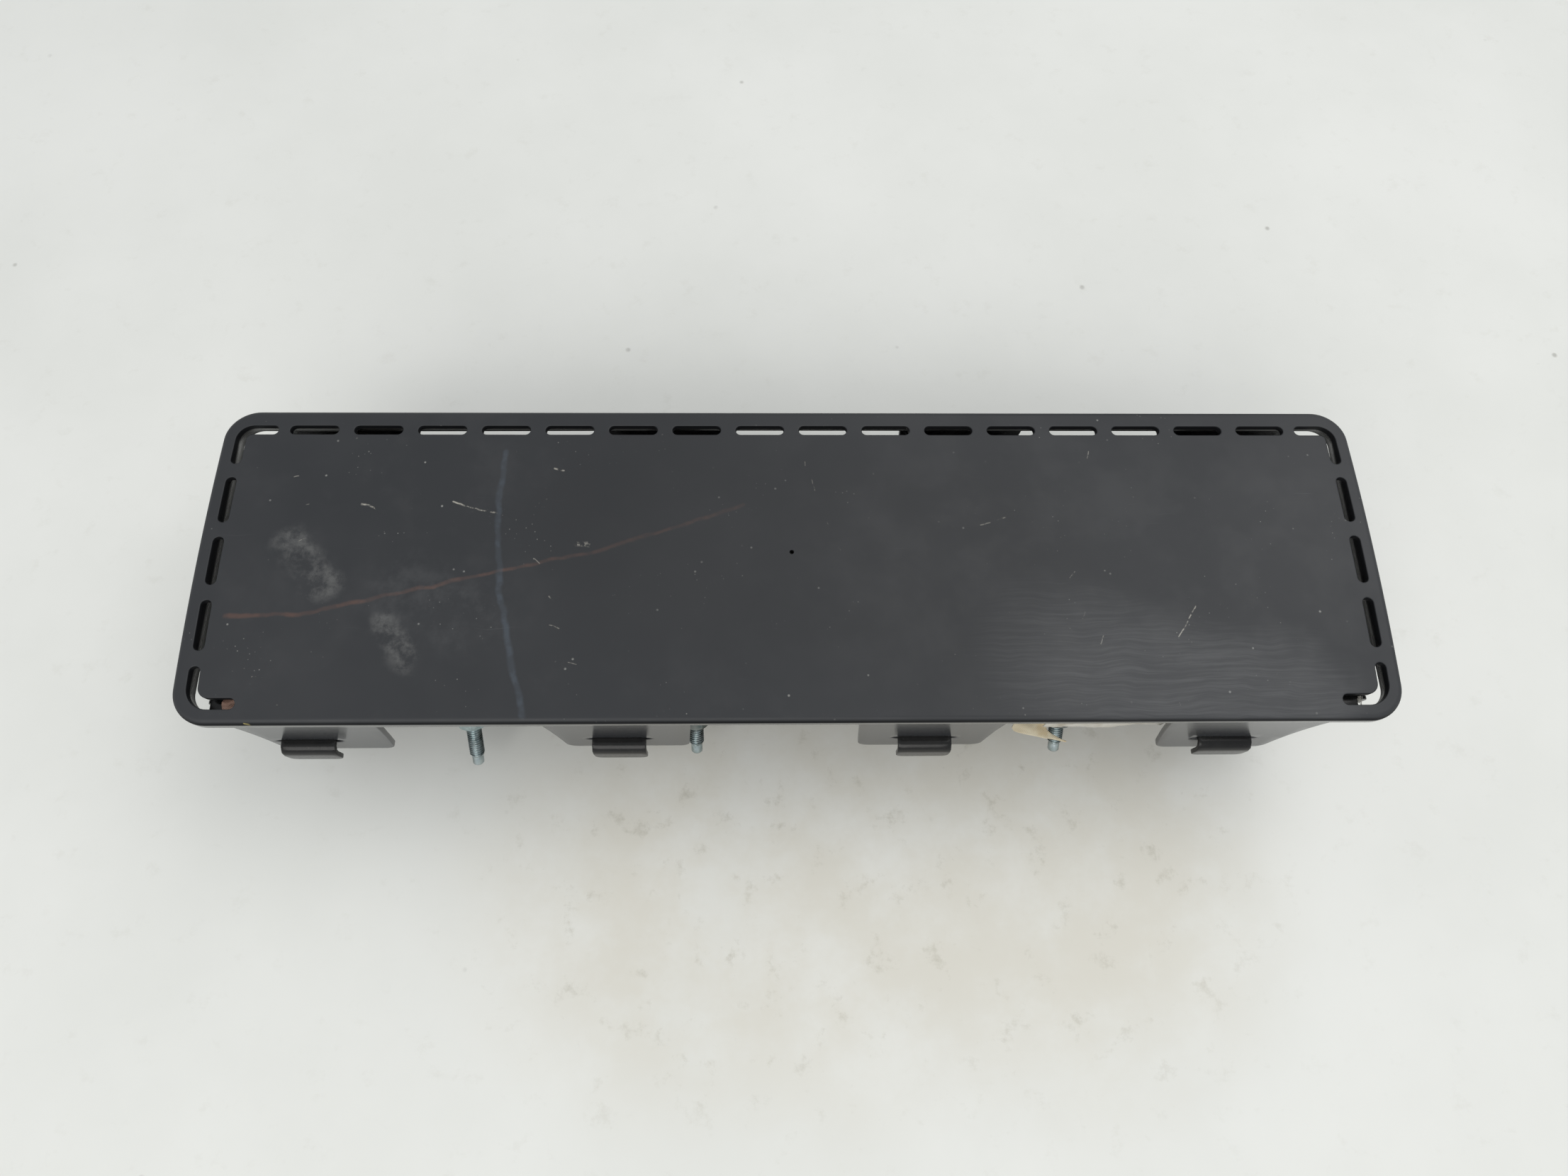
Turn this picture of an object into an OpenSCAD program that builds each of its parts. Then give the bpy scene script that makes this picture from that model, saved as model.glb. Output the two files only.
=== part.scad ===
// Knee airbag module, housed state.
// A crowned moulded cover snaps onto a sheet-steel can that holds a cylindrical
// gas generator and a folded cushion. The cover tears along a perforated seam on
// three sides and its door swings about a living hinge along the front edge.
// Units are millimetres. +Z is up through the cover, +X runs along its length,
// -Y is the hinge side. The origin is under the middle of the whole module.

/* [Cover] */
// Length of the cover along X
cover_len = 435.6; // [430:0.1:440]
// Depth of the cover along Y
cover_dep = 123.4; // [122:0.1:125]
// Radius of the cover's four corners, seen from above
corner_r = 12.5; // [10:0.5:14]
// Radius of the cover's crown, about an axis along X
crown_r = 779; // [700:1:900]
// Height of the crown's highest line
top_z = 82.4; // [82:0.1:83]
// Thickness of the cover plate
plate_t = 2.5; // [2:0.1:3]
// Thickness of the skirt
skirt_t = 2.0; // [1.6:0.1:2.4]
// Height of the lower edge of the skirt and of the rib inside it
skirt_z = 74.3; // [73.5:0.1:75]
// Thickness of the rib that runs round inside the skirt
rib_t = 1.5; // [1.2:0.1:1.5]
// Distance from the outside of the skirt to the inner face of the rib
rib_inset = 5.2; // [5:0.1:5.3]
// How much further in the rib runs along the rear
rib_back = 0.7; // [0.5:0.1:0.9]

/* [Tear seam and hinge] */
// Width of each seam slot
slot_w = 3.8; // [3.4:0.1:4.2]
// Length of each straight seam slot
slot_len = 18.5; // [17:0.1:19.5]
// Pitch of the seam slots
slot_pitch = 24.44; // [24:0.02:24.6]
// Y of the rear row of slots
rear_slot_y = 52.9; // [52.4:0.1:53.4]
// X of the side rows of slots
side_slot_x = 210.6; // [210.2:0.1:210.7]
// Y of the living hinge's middle line
hinge_y = -54.4; // [-54.6:0.1:-54]
// Middle-line radius of the slots round the rear corners
rear_slot_r = 4.2; // [4:0.1:5]
// Middle-line radius of the slots round the front corners
front_slot_r = 6; // [5.5:0.1:6.5]
// Half length of the living hinge along X
hinge_hx = 197; // [195:0.5:198]
// Thickness of the living hinge
hinge_t = 1.0; // [0.7:0.1:1.4]
// Gap along the tear line
tear_gap = 0.1; // [0.06:0.01:0.2]

/* [Snap flaps and hooks] */
// Thickness of the snap flaps
flap_t = 2.4; // [2:0.1:2.6]
// Y of a flap's outer face
flap_y = 60.3; // [60:0.1:60.6]
// Height of the flaps' lower edge
flap_z = 30.5; // [29:0.1:32]
// Height of the middle of each slit
slit_z = 43.4; // [43:0.1:44]
// Width of each slit
slit_w = 25.5; // [24:0.1:27]
// Width of each hook
hook_w = 20.6; // [19:0.1:21]
// Outermost Y of a hook
hook_y = 65.5; // [65:0.1:66]
// Height of the tip of each hook
hook_tip_z = 33; // [31:0.1:35]

/* [Can] */
// Half length of the can along X
can_hx = 208; // [204:0.5:208]
// Sheet thickness of the can
sheet = 1.5; // [1.2:0.1:1.6]
// Y of the can's front face
can_front = -53; // [-53.4:0.1:-52.6]
// Y of the can's rear face
can_rear = 52; // [51:0.1:53]
// Height of the can's rim
can_top = 75; // [74:0.1:75.4]
// Position of the 45 degree face that carries the studs: Y + Z on its outside
bevel_c = -18.3; // [-19:0.1:-17.6]

/* [Gas generator and fixings] */
// Y of the generator's axis
gen_y = -33.4; // [-33.6:0.1:-33.2]
// Height of the generator's axis
gen_z = 41.97; // [41.8:0.01:42.1]
// Outer radius of the generator's tube
gen_r = 16; // [15:0.1:16]
// Left end of the tube
gen_x0 = -62; // [-80:1:-58]
// Right end of the tube
gen_x1 = 184; // [170:1:184]
// Places of the two generator studs along X
stud_xs = [-38.3, 108.5];
// Place of the separate mounting stud along X
mount_stud_x = -128; // [-132:0.5:-124]
// Nominal thread diameter
thread_d = 6; // [5:1:6]
// Length of the generator studs outside the can
stud_len = 18.4; // [16:0.1:20]
// Length of the mounting stud outside the can
mount_stud_len = 23.6; // [20:0.1:25]
// Width across the flats of the nuts
nut_af = 10; // [9.8:0.1:10]
// Height of the nuts
nut_h = 5; // [4.6:0.1:5.2]

/* [Hidden] */

e = 0.01;
hl = cover_len / 2;
hd = cover_dep / 2;
front_flaps = [-176.8, -64, 50.6, 166.4];
front_hooks = [-184, -66.2, 51, 167.5];
rear_flaps = [-174, -48, 68, 178];
flap_top_w = 56;
flap_low_w = 47;
sq2 = sqrt(2);
// Unit vector out of the can along the studs
out_y = -1 / sq2;
out_z = -1 / sq2;
inner_c = bevel_c + sheet * sq2;
// Distance from the generator's axis to the inside of the stud face
gen_gap = (gen_y + gen_z - inner_c) / sq2;

// ---- helpers -------------------------------------------------------------

// Points along an arc, from angle a0 to angle a1 in n steps
function round_pts(x, y, r, a0, a1, n) =
    [for (i = [0:n]) let (a = a0 + (a1 - a0) * i / n)
        [x + r * cos(a), y + r * sin(a)]];

// A flat rectangle with round corners, from its half sizes
module rrect(hx, y0, y1, r) {
    polygon(concat(round_pts(hx - r, y1 - r, r, 0, 90, 12),
                   round_pts(-hx + r, y1 - r, r, 90, 180, 12),
                   round_pts(-hx + r, y0 + r, r, 180, 270, 12),
                   round_pts(hx - r, y0 + r, r, 270, 360, 12)));
}

// Everything under a crown of radius r that shares the cover's axis
module crown(r) {
    translate([0, 0, top_z - crown_r]) rotate([0, 90, 0])
        cylinder(r = r, h = 2 * hl + 20, center = true, $fn = 1440);
}

// A shell of thickness t under the crown's surface
module crown_shell(t) {
    difference() { crown(crown_r); crown(crown_r - t); }
}

// A straight slot with round ends, centred, along X
module slot2(len, w) {
    x = (len - w) / 2;
    polygon(concat(round_pts(x, 0, w / 2, -90, 90, 12),
                   round_pts(-x, 0, w / 2, 90, 270, 12)));
}

// A quarter ring of mean radius r and width w, in the +X +Y quadrant
module quarter(r, w) {
    difference() {
        intersection() { circle(r = r + w / 2, $fn = 96); square(r + w); }
        circle(r = r - w / 2, $fn = 96);
    }
}

// A slot round a corner in the first quarter, along a centre line that runs
// from (x0, y1) round the corner at (x1, y1) to (x1, y0)
module slot_round(x0, x1, y0, y1, r, w) {
    polygon(concat(round_pts(x0, y1, w / 2, 90, 270, 12),
                   round_pts(x1 - r, y1 - r, r - w / 2, 90, 0, 8),
                   round_pts(x1, y0, w / 2, 180, 360, 12),
                   round_pts(x1 - r, y1 - r, r + w / 2, 0, 90, 12)));
}

// The slot round a rear corner, on the +X side
module rear_corner_slot() {
    slot_round(199, side_slot_x, 40, rear_slot_y, rear_slot_r, slot_w);
}

// The slot round a front corner, which ends the living hinge, on the +X side
module front_corner_slot() {
    mirror([0, 1])
        slot_round(hinge_hx, side_slot_x, 43.1, -hinge_y, front_slot_r, slot_w);
}

// Every slot of the tear seam, seen from above
module seam_slots() {
    for (i = [1:16]) translate([(i - 8.5) * slot_pitch, rear_slot_y])
        slot2(slot_len, slot_w);
    for (s = [0, 1]) mirror([s, 0]) {
        rear_corner_slot();
        front_corner_slot();
        for (y = [22.9, -1.6, -26.1])
            translate([side_slot_x, y]) rotate(90) slot2(slot_len, slot_w);
    }
}

// The hole that the door leaves in the cover, whose corners lie in the slots
module door_hole() {
    hx = side_slot_x - slot_w / 2 + 0.05;
    translate([-hx, hinge_y])
        square([2 * hx, rear_slot_y - slot_w / 2 + 0.05 - hinge_y]);
}

// The strip along the front that the living hinge fills
module hinge_strip() {
    translate([-hinge_hx, hinge_y - slot_w / 2 + 0.05])
        square([2 * hinge_hx, slot_w - 0.1]);
}

// Outline of the door, smaller than its hole by g
module door_outline(g) {
    hx = side_slot_x - slot_w / 2 - g;
    y0 = hinge_y + slot_w / 2 + g / 2;
    y1 = rear_slot_y - slot_w / 2 - g;
    rf = front_slot_r - slot_w / 2 - g;
    rr = rear_slot_r - slot_w / 2 - g;
    translate([-hx, y0 + rf]) square([2 * hx, y1 - rr - y0 - rf]);
    translate([-hx + rf, y0]) square([2 * (hx - rf), rf + 1]);
    translate([-hx + rr, y1 - rr - 1]) square([2 * (hx - rr), rr + 1]);
    for (sx = [-1, 1]) {
        translate([sx * (hx - rf), y0 + rf]) circle(r = rf, $fn = 96);
        translate([sx * (hx - rr), y1 - rr]) circle(r = rr, $fn = 96);
    }
}

// The cover's outline, moved in by d, and by a further back along the rear
module rib_edge(d, back = 0) {
    rrect(hl - d, -hd + d, hd - d - back, corner_r - d);
}

// Points of an arc about c, from angle a0 to a1
function arc_pts(c, r, a0, a1, n) =
    [for (i = [0:n]) let (a = a0 + (a1 - a0) * i / n) c + r * [cos(a), sin(a)]];

// ---- cover ---------------------------------------------------------------

// One snap flap with its slit, in the XZ plane and hanging from the plate.
// wt and wl are its widths above and below, sx the slit's place along X
module flap(wt, wl, sx, r = 5) {
    top = 78.2;
    difference() {
        rotate([90, 0, 0]) linear_extrude(flap_t)
            polygon(concat(
                [[-wt / 2, top]],
                arc_pts([-wl / 2 + r, flap_z + r], r, 190, 270, 8),
                arc_pts([wl / 2 - r, flap_z + r], r, 270, 350, 8),
                [[wt / 2, top]]));
        translate([sx, -flap_t - 1, slit_z]) rotate([-90, 0, 0])
            linear_extrude(flap_t + 2)
                polygon([[-slit_w / 2, 0], [-slit_w / 2 + 2, 1.5],
                         [slit_w / 2 - 2, 1.5], [slit_w / 2, 0],
                         [slit_w / 2 - 2, -1.5], [-slit_w / 2 + 2, -1.5]]);
    }
}

// Rim of the cover: the skirt, the rib inside it, the outer band of the plate
// and eight flaps
module cover_frame() {
    color([0.16, 0.165, 0.175]) {
        difference() {
            difference() {
                intersection() {
                    translate([0, 0, skirt_z]) linear_extrude(20)
                        rrect(hl, -hd, hd, corner_r);
                    crown(crown_r);
                }
                intersection() {
                    translate([0, 0, skirt_z - 1]) linear_extrude(22)
                        rib_edge(rib_inset, rib_back);
                    crown(crown_r - plate_t);
                }
            }
            intersection() {
                translate([0, 0, skirt_z - 1]) linear_extrude(22) difference() {
                    rib_edge(skirt_t);
                    rib_edge(rib_inset - rib_t, rib_back);
                }
                crown(crown_r - plate_t);
            }
            translate([0, 0, skirt_z - 2]) linear_extrude(24) {
                door_hole();
                seam_slots();
                hinge_strip();
            }
        }
        for (i = [0:3])
            translate([front_flaps[i], -flap_y + flap_t, 0])
                flap(flap_top_w, flap_low_w, front_hooks[i] - front_flaps[i]);
        for (x = rear_flaps)
            translate([x, flap_y, 0]) flap(50, 44, 0);
    }
}

// Thin strip left between the rim and the door along the front
module living_hinge() {
    color([0.16, 0.165, 0.175]) intersection() {
        crown_shell(hinge_t);
        translate([0, 0, skirt_z]) linear_extrude(20) difference() {
            hinge_strip();
            for (s = [0, 1]) mirror([s, 0]) front_corner_slot();
        }
    }
}

// The door: the middle of the plate with shallow stiffening ribs beneath
module door_panel() {
    color([0.17, 0.175, 0.185]) {
        intersection() {
            crown_shell(plate_t);
            translate([0, 0, skirt_z]) linear_extrude(20) difference() {
                door_outline(tear_gap);
                translate([-0.4, 1.4]) circle(r = 0.8, $fn = 32);
            }
        }
        for (y = [-27, 27]) translate([-190, y - 0.6, 77]) cube([380, 1.2, 3.4]);
        for (i = [-4.5:4.5]) translate([i * 40 - 0.6, -46, 77])
            cube([1.2, 92, 3.4]);
    }
}

// ---- can -----------------------------------------------------------------

// Cross-section of the space inside the can, open above
module can_inside(grow = 0) {
    polygon([[can_front + sheet - grow, can_top + 1],
             [can_front + sheet - grow, inner_c - can_front - sheet],
             [inner_c - sheet, sheet],
             [can_rear - sheet + grow, sheet],
             [can_rear - sheet + grow, can_top + 1]]);
}

// A hook bent from the can wall: out through a slit and down
module hook() {
    r = 4;
    t = 1.8;
    top = slit_z + 1.1;
    yb = -hook_y + r;
    translate([-hook_w / 2, 0, 0]) rotate([90, 0, 90]) linear_extrude(hook_w) {
        translate([yb, top - t]) square([can_front + sheet - yb, t]);
        translate([yb, top - r]) mirror([1, 0]) quarter(r - t / 2, t);
        translate([yb - r, hook_tip_z]) square([t, top - r - hook_tip_z + e]);
    }
}

// Pressed-steel can with the stud holes, the hooks and the windows they leave
module can_housing() {
    color([0.13, 0.13, 0.14]) {
        difference() {
            translate([-can_hx, 0, 0]) rotate([90, 0, 90])
                linear_extrude(2 * can_hx) difference() {
                    polygon([[can_front, can_top],
                             [can_front, bevel_c - can_front],
                             [bevel_c, 0], [can_rear, 0],
                             [can_rear, can_top]]);
                    can_inside();
                }
            for (x = concat([mount_stud_x], stud_xs))
                translate([x, gen_y, gen_z]) rotate([-45, 0, 0])
                    translate([0, 0, -gen_gap - sheet - 2])
                        cylinder(d = thread_d + 0.6, h = sheet + 4, $fn = 48);
            for (x = front_hooks)
                translate([x - hook_w / 2 - 0.5, can_front - 1, slit_z + 1.1])
                    cube([hook_w + 1, sheet + 2, 18]);
            for (x = rear_flaps)
                translate([x - hook_w / 2 - 0.5, can_rear - sheet - 1, slit_z + 1.1])
                    cube([hook_w + 1, sheet + 2, 18]);
            for (p = rivet_places) rivet_at(p) translate([0, 0, -3])
                cylinder(r = 1.6, h = 8, $fn = 32);
        }
        for (x = front_hooks) translate([x, 0, 0]) hook();
        // Small flanges at the can's front corners, under the corner slots
        translate([-206.4, can_front - 3.3, can_top - 0.8])
            cube([16.4, 5.1, 1]);
        translate([190, can_front - 3.3, can_top - 0.8]) cube([13.5, 5.1, 1]);
        for (x = rear_flaps) translate([x, -1, 0]) mirror([0, 1, 0])
            translate([0, 0, 0]) rear_hook();
    }
}

// The same hook at the rear wall, which stands 1 mm nearer the middle
module rear_hook() {
    r = 4;
    t = 1.8;
    top = slit_z + 1.1;
    yb = -hook_y - 1 + r;
    translate([-hook_w / 2, 0, 0]) rotate([90, 0, 90]) linear_extrude(hook_w) {
        translate([yb, top - t]) square([-can_rear - 1 + sheet - yb, t]);
        translate([yb, top - r]) mirror([1, 0]) quarter(r - t / 2, t);
        translate([yb - r, hook_tip_z]) square([t, top - r - hook_tip_z + e]);
    }
}

// Rivet places: x, which wall (-1 front, 1 rear) and height
rivet_places = [for (sx = [-1, 1]) for (w = [[-1, 48], [-1, 66], [1, 18], [1, 62]])
    [sx * (can_hx - 6), w[0], w[1]]];

// Put children at a rivet place with +Z pointing out of the wall
module rivet_at(p) {
    translate([p[0], p[1] < 0 ? can_front : can_rear, p[2]])
        rotate([p[1] < 0 ? 90 : -90, 0, 0]) children();
}

// Tray-shaped end cap, its flange inside the can; side is -1 or 1
module end_cap(side, hole) {
    t = 1.2;
    x0 = can_hx - 12;
    mirror([side < 0 ? 1 : 0, 0, 0]) difference() {
        translate([x0, 0, 0]) rotate([90, 0, 90]) linear_extrude(12)
            polygon([[can_front + sheet, can_top - 1],
                     [can_front + sheet, inner_c - can_front - sheet],
                     [inner_c - sheet, sheet],
                     [can_rear - sheet, sheet],
                     [can_rear - sheet, can_top - 1]]);
        translate([x0 - 1, 0, 0]) rotate([90, 0, 90]) linear_extrude(13 - t)
            polygon([[can_front + sheet + t, can_top + 1],
                     [can_front + sheet + t, inner_c + t * sq2 - can_front - sheet - t],
                     [inner_c + t * sq2 - sheet - t, sheet + t],
                     [can_rear - sheet - t, sheet + t],
                     [can_rear - sheet - t, can_top + 1]]);
        if (hole) translate([can_hx - 6, gen_y, gen_z]) rotate([0, 90, 0])
            cylinder(r = 14, h = 12, $fn = 96);
        for (p = rivet_places) if (p[0] > 0) rivet_at(p) translate([0, 0, -4])
            cylinder(r = 1.6, h = 8, $fn = 32);
    }
}

module end_cap_left() { color([0.14, 0.14, 0.15]) end_cap(-1, false); }

module end_cap_right() { color([0.14, 0.14, 0.15]) end_cap(1, true); }

// Eight blind rivets that hold the end caps
module end_cap_rivets() {
    color([0.55, 0.56, 0.57]) for (p = rivet_places) rivet_at(p) {
        translate([0, 0, -4]) cylinder(r = 1.55, h = 4.2, $fn = 32);
        cylinder(r1 = 2.9, r2 = 1.7, h = 1.0, $fn = 48);
        translate([0, 0, -sheet - 1.2 - 1.3]) cylinder(r = 2.4, h = 1.3, $fn = 32);
    }
}

// ---- gas generator -------------------------------------------------------

// Put children on the generator's axis, with local +Z along +X from x
module on_gen(x) {
    translate([x, gen_y, gen_z]) rotate([0, 90, 0]) children();
}

// Drawn steel tube, crimped in at both ends, with two rows of gas ports
module generator_tube() {
    len = gen_x1 - gen_x0;
    color([0.62, 0.63, 0.64]) difference() {
        on_gen(gen_x0) rotate_extrude($fn = 128)
            polygon([[12.2, 0], [14.2, 0], [15.5, 1.3], [gen_r, 3.2],
                     [gen_r, len - 24], [gen_r - 1.2, len - 22.5],
                     [gen_r - 1.2, len - 20.5], [gen_r, len - 19],
                     [gen_r, len - 3.2], [15.5, len - 1.3], [14.2, len],
                     [12.2, len], [12.2, len - 2.2], [13.8, len - 3],
                     [13.8, 3], [12.2, 2.2]]);
        for (x = [-22, -10, 2, 14]) for (a = [30, 80])
            translate([x, gen_y, gen_z]) rotate([-a, 0, 0])
                cylinder(r = 1.5, h = 20, $fn = 24);
    }
}

// Dished plug that closes the tube's left end
module generator_end_plug() {
    color([0.66, 0.67, 0.68]) on_gen(gen_x0 + 3.05) rotate_extrude($fn = 96)
        polygon([[0, 1.6], [6, 1.2], [10, 0], [13.75, 0], [13.75, 7],
                 [11.5, 7], [10.5, 3.2], [0, 3.8]]);
}

// Turned holder with the plug socket, closing the tube's right end
module initiator_holder() {
    color([0.5, 0.51, 0.52]) difference() {
        on_gen(gen_x1 - 20) rotate_extrude($fn = 96)
            polygon([[0, 0], [6, 0], [6, 7], [13.7, 7], [13.7, 16.9], [12.1, 17.9],
                     [11.8, 20], [9, 20], [9, 27], [0, 27]]);
        on_gen(gen_x1 - 4) cylinder(r = 6.6, h = 12, $fn = 64);
    }
}

// Two contact pins of the initiator
module initiator_pins() {
    color([0.85, 0.7, 0.3]) for (s = [-1, 1])
        translate([gen_x1 - 4, gen_y, gen_z + s * 1.27]) rotate([0, 90, 0])
            cylinder(r = 0.5, h = 6, $fn = 24);
}

// Moulded insert that shorts the pins until the plug goes in
module shorting_clip() {
    color([0.9, 0.75, 0.15]) difference() {
        on_gen(gen_x1 - 4) cylinder(r = 6.6, h = 10.4, $fn = 64);
        on_gen(gen_x1 - 3) cylinder(r = 5.2, h = 12, $fn = 64);
        for (s = [-1, 1]) translate([gen_x1 - 5, gen_y, gen_z + s * 1.27])
            rotate([0, 90, 0]) cylinder(r = 0.6, h = 4, $fn = 24);
        translate([gen_x1 + 2, gen_y - 1.6, gen_z + 4]) cube([8, 3.2, 3]);
    }
}

// Knitted-wire filter, shown as the tube that it fills
module filter_screen() {
    color([0.55, 0.55, 0.53]) on_gen(gen_x0 + 12) rotate_extrude($fn = 96)
        polygon([[9.5, 0], [13.2, 0], [13.2, 88], [9.5, 88]]);
}

// Pressed tablets in a stack
module gas_generant() {
    color([0.75, 0.74, 0.7]) for (i = [0:9])
        on_gen(gen_x0 + 104 + i * 5.6) rotate_extrude($fn = 64)
            polygon([[3, 0], [12, 0], [12.6, 0.8], [12.6, 4.4], [12, 5.2], [3, 5.2]]);
}

// Half-round sheet that turns the gas away from the cushion's mouth
module gas_deflector() {
    color([0.45, 0.46, 0.47]) difference() {
        on_gen(-54) cylinder(r = 16.5, h = 210, $fn = 128);
        on_gen(-55) cylinder(r = 16.05, h = 212, $fn = 128);
        translate([-60, gen_y, gen_z]) rotate([-45, 0, 0])
            translate([0, -30, -60]) cube([230, 60, 61]);
        for (x = [-30:12:138]) translate([x, gen_y, gen_z])
            rotate([-20, 0, 0]) cylinder(r = 2, h = 30, $fn = 24);
    }
}

// Steel band round the generator, pierced for its stud
module clamp_band(x) {
    color([0.5, 0.52, 0.54]) difference() {
        on_gen(x - 8) difference() {
            cylinder(r = gen_gap - 0.02, h = 16, $fn = 128);
            translate([0, 0, -1]) cylinder(r = 16.55, h = 18, $fn = 128);
        }
        translate([x, gen_y, gen_z]) rotate([-45, 0, 0])
            translate([0, 0, -25]) cylinder(d = thread_d + 0.1, h = 12, $fn = 48);
    }
}

module clamp_band_left() { clamp_band(stud_xs[0]); }

module clamp_band_right() { clamp_band(stud_xs[1]); }

// ---- studs and nuts --------------------------------------------------------

// Radius of a stud inside the can and under its nut, near the pitch radius
stud_in_r = thread_d / 2 - 0.3;

// Section of a stud along local -Z from the can's inner face at z = 0. Its
// free thread starts at a depth of free outside the can, clear of the nut
function stud_points(len, free) = let (d = thread_d)
    [[stud_in_r, -sheet - free], [d / 2, -sheet - free],
     [d / 2, -sheet - len + 4.2], [d / 2 - 0.7, -sheet - len + 3.4],
     [d / 2 - 0.75, -sheet - len + 0.6], [d / 2 - 1.3, -sheet - len],
     [0, -sheet - len]];

// Put children on the stud line at x: z = 0 is the can's inner face and +Z
// points into the can
module on_stud(x) {
    translate([x, gen_y + out_y * gen_gap, gen_z + out_z * gen_gap])
        rotate([-45, 0, 0]) children();
}

// Two weld studs on the clamp bands
module generator_studs() {
    color([0.62, 0.66, 0.67]) for (i = [0, 1]) on_stud(stud_xs[i])
        rotate_extrude($fn = 96)
            polygon(concat([[0, 1.4], [2.3, 1.4], [stud_in_r, 1.0]],
                           stud_points(stud_len, nut_h + (i == 0 ? 0.3 : 2.1))));
}

// Clinch stud pressed into the can
module mounting_stud() {
    color([0.62, 0.66, 0.67]) on_stud(mount_stud_x)
        rotate_extrude($fn = 96)
            polygon(concat([[0, 1.2], [5, 1.2], [5, 0], [stud_in_r, 0]],
                           stud_points(mount_stud_len, nut_h + 0.3)));
}

// Three hexagon nuts, each against the can
module stud_nuts() {
    color([0.45, 0.5, 0.5]) for (x = concat([mount_stud_x], stud_xs)) on_stud(x)
        translate([0, 0, -sheet - nut_h]) difference() {
            intersection() {
                rotate(x == mount_stud_x ? 7 : 30)
                    cylinder(d = nut_af / cos(30), h = nut_h, $fn = 6);
                rotate_extrude($fn = 96)
                    polygon([[0, 0], [nut_af / 2 - 0.1, 0], [nut_af / 2 + 0.9, 0.6],
                             [nut_af / 2 + 0.9, nut_h], [0, nut_h]]);
            }
            translate([0, 0, -1]) cylinder(d = thread_d + 0.1, h = nut_h + 2, $fn = 48);
        }
}

// ---- cushion ---------------------------------------------------------------

// Folded cushion: fills the can behind and above the generator
module folded_cushion() {
    color([0.62, 0.4, 0.33]) {
        translate([-198, 0, 0]) rotate([90, 0, 90]) linear_extrude(396)
            polygon([[-49.8, 75.2], [-49.8, 62.5], [-14, 62.5], [-14, 4.2],
                     [48.8, 4.2], [48.8, 75.2]]);
        translate([-198, 0, 0]) rotate([90, 0, 90]) linear_extrude(130)
            polygon([[-49.8, 63], [-49.8, 39], [-15, 4.2], [-13.9, 4.2],
                     [-13.9, 63]]);
    }
}

// Thin cloth sleeve that holds the cushion folded, with an apron that hangs
// over the can's rim in front, between the two right-hand flaps
module cushion_wrap() {
    color([0.86, 0.84, 0.8]) {
        translate([-195, 0, 0]) rotate([90, 0, 90]) linear_extrude(390)
            polygon([[-50.8, 50], [-50.3, 50], [-50.3, 75.6], [49.3, 75.6],
                     [49.3, 12], [49.8, 12], [49.8, 76.2], [-50.8, 76.2]]);
        translate([98, 0, 0]) rotate([90, 0, 90]) linear_extrude(46)
            polygon([[-54.6, 40], [-54.1, 40], [-54.1, 75.7], [-50.6, 75.7],
                     [-50.6, 76.2], [-54.6, 76.2]]);
    }
}

// Loose cloth tab that sticks out from under the can's front, over the
// right-hand nut, and narrows to a point
module wrap_tab() {
    color([0.84, 0.78, 0.62]) translate([stud_xs[1], -55, 30.5])
        rotate([20.4, 0, 0]) linear_extrude(0.6)
            polygon([[-20, 1.2], [-17.5, -0.8], [-10, -2.4], [1.5, -4.2],
                     [-1, -3.4], [-4, -1.4], [-6.8, 2.2], [-6.8, 4.4],
                     [-18.8, 4.4]]);
}

// ---- output ----------------------------------------------------------------

cover_frame();
living_hinge();
door_panel();
can_housing();
end_cap_left();
end_cap_right();
end_cap_rivets();
generator_tube();
generator_end_plug();
initiator_holder();
initiator_pins();
shorting_clip();
filter_screen();
gas_generant();
gas_deflector();
clamp_band_left();
clamp_band_right();
generator_studs();
mounting_stud();
stud_nuts();
folded_cushion();
cushion_wrap();
wrap_tab();
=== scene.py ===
import bpy, bmesh, math
import numpy as np
from mathutils import Matrix, Vector
from mathutils.geometry import delaunay_2d_cdt


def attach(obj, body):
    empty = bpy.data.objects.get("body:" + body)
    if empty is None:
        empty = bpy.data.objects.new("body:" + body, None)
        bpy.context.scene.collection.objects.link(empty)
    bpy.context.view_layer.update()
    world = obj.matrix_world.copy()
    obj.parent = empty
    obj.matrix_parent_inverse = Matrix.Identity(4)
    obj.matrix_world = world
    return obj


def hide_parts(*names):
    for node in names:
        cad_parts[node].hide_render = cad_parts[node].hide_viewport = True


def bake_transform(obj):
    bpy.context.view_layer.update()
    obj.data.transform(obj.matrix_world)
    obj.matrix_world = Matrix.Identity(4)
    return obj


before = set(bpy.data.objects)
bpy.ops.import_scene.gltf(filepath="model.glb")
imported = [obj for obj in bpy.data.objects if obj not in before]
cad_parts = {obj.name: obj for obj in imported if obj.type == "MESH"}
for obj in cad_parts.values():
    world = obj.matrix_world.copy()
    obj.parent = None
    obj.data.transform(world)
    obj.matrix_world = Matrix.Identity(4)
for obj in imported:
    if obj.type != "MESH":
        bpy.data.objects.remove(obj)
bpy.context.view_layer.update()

# Knee airbag module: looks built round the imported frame. Lengths here are in
# millimetres and are scaled to metres when a mesh is made.
MM = 0.001
SQ = math.sqrt(0.5)

# ---- sizes, as in the CAD source ---------------------------------------------
HL, HD, CR = 217.8, 61.7, 12.5
CROWN_R, TOP = 779.0, 82.4
PLATE, SKIRT = 2.5, 2.0
SLOT_W, SLOT_LEN, PITCH = 3.8, 18.5, 24.44
REAR_Y, SIDE_X, HINGE_Y, HINGE_HX = 52.9, 210.6, -54.4, 197.0
REAR_R, FRONT_R = 4.2, 6.0
H = SLOT_W / 2
RIB_IN, RIB_T = 5.2, 1.5
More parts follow.
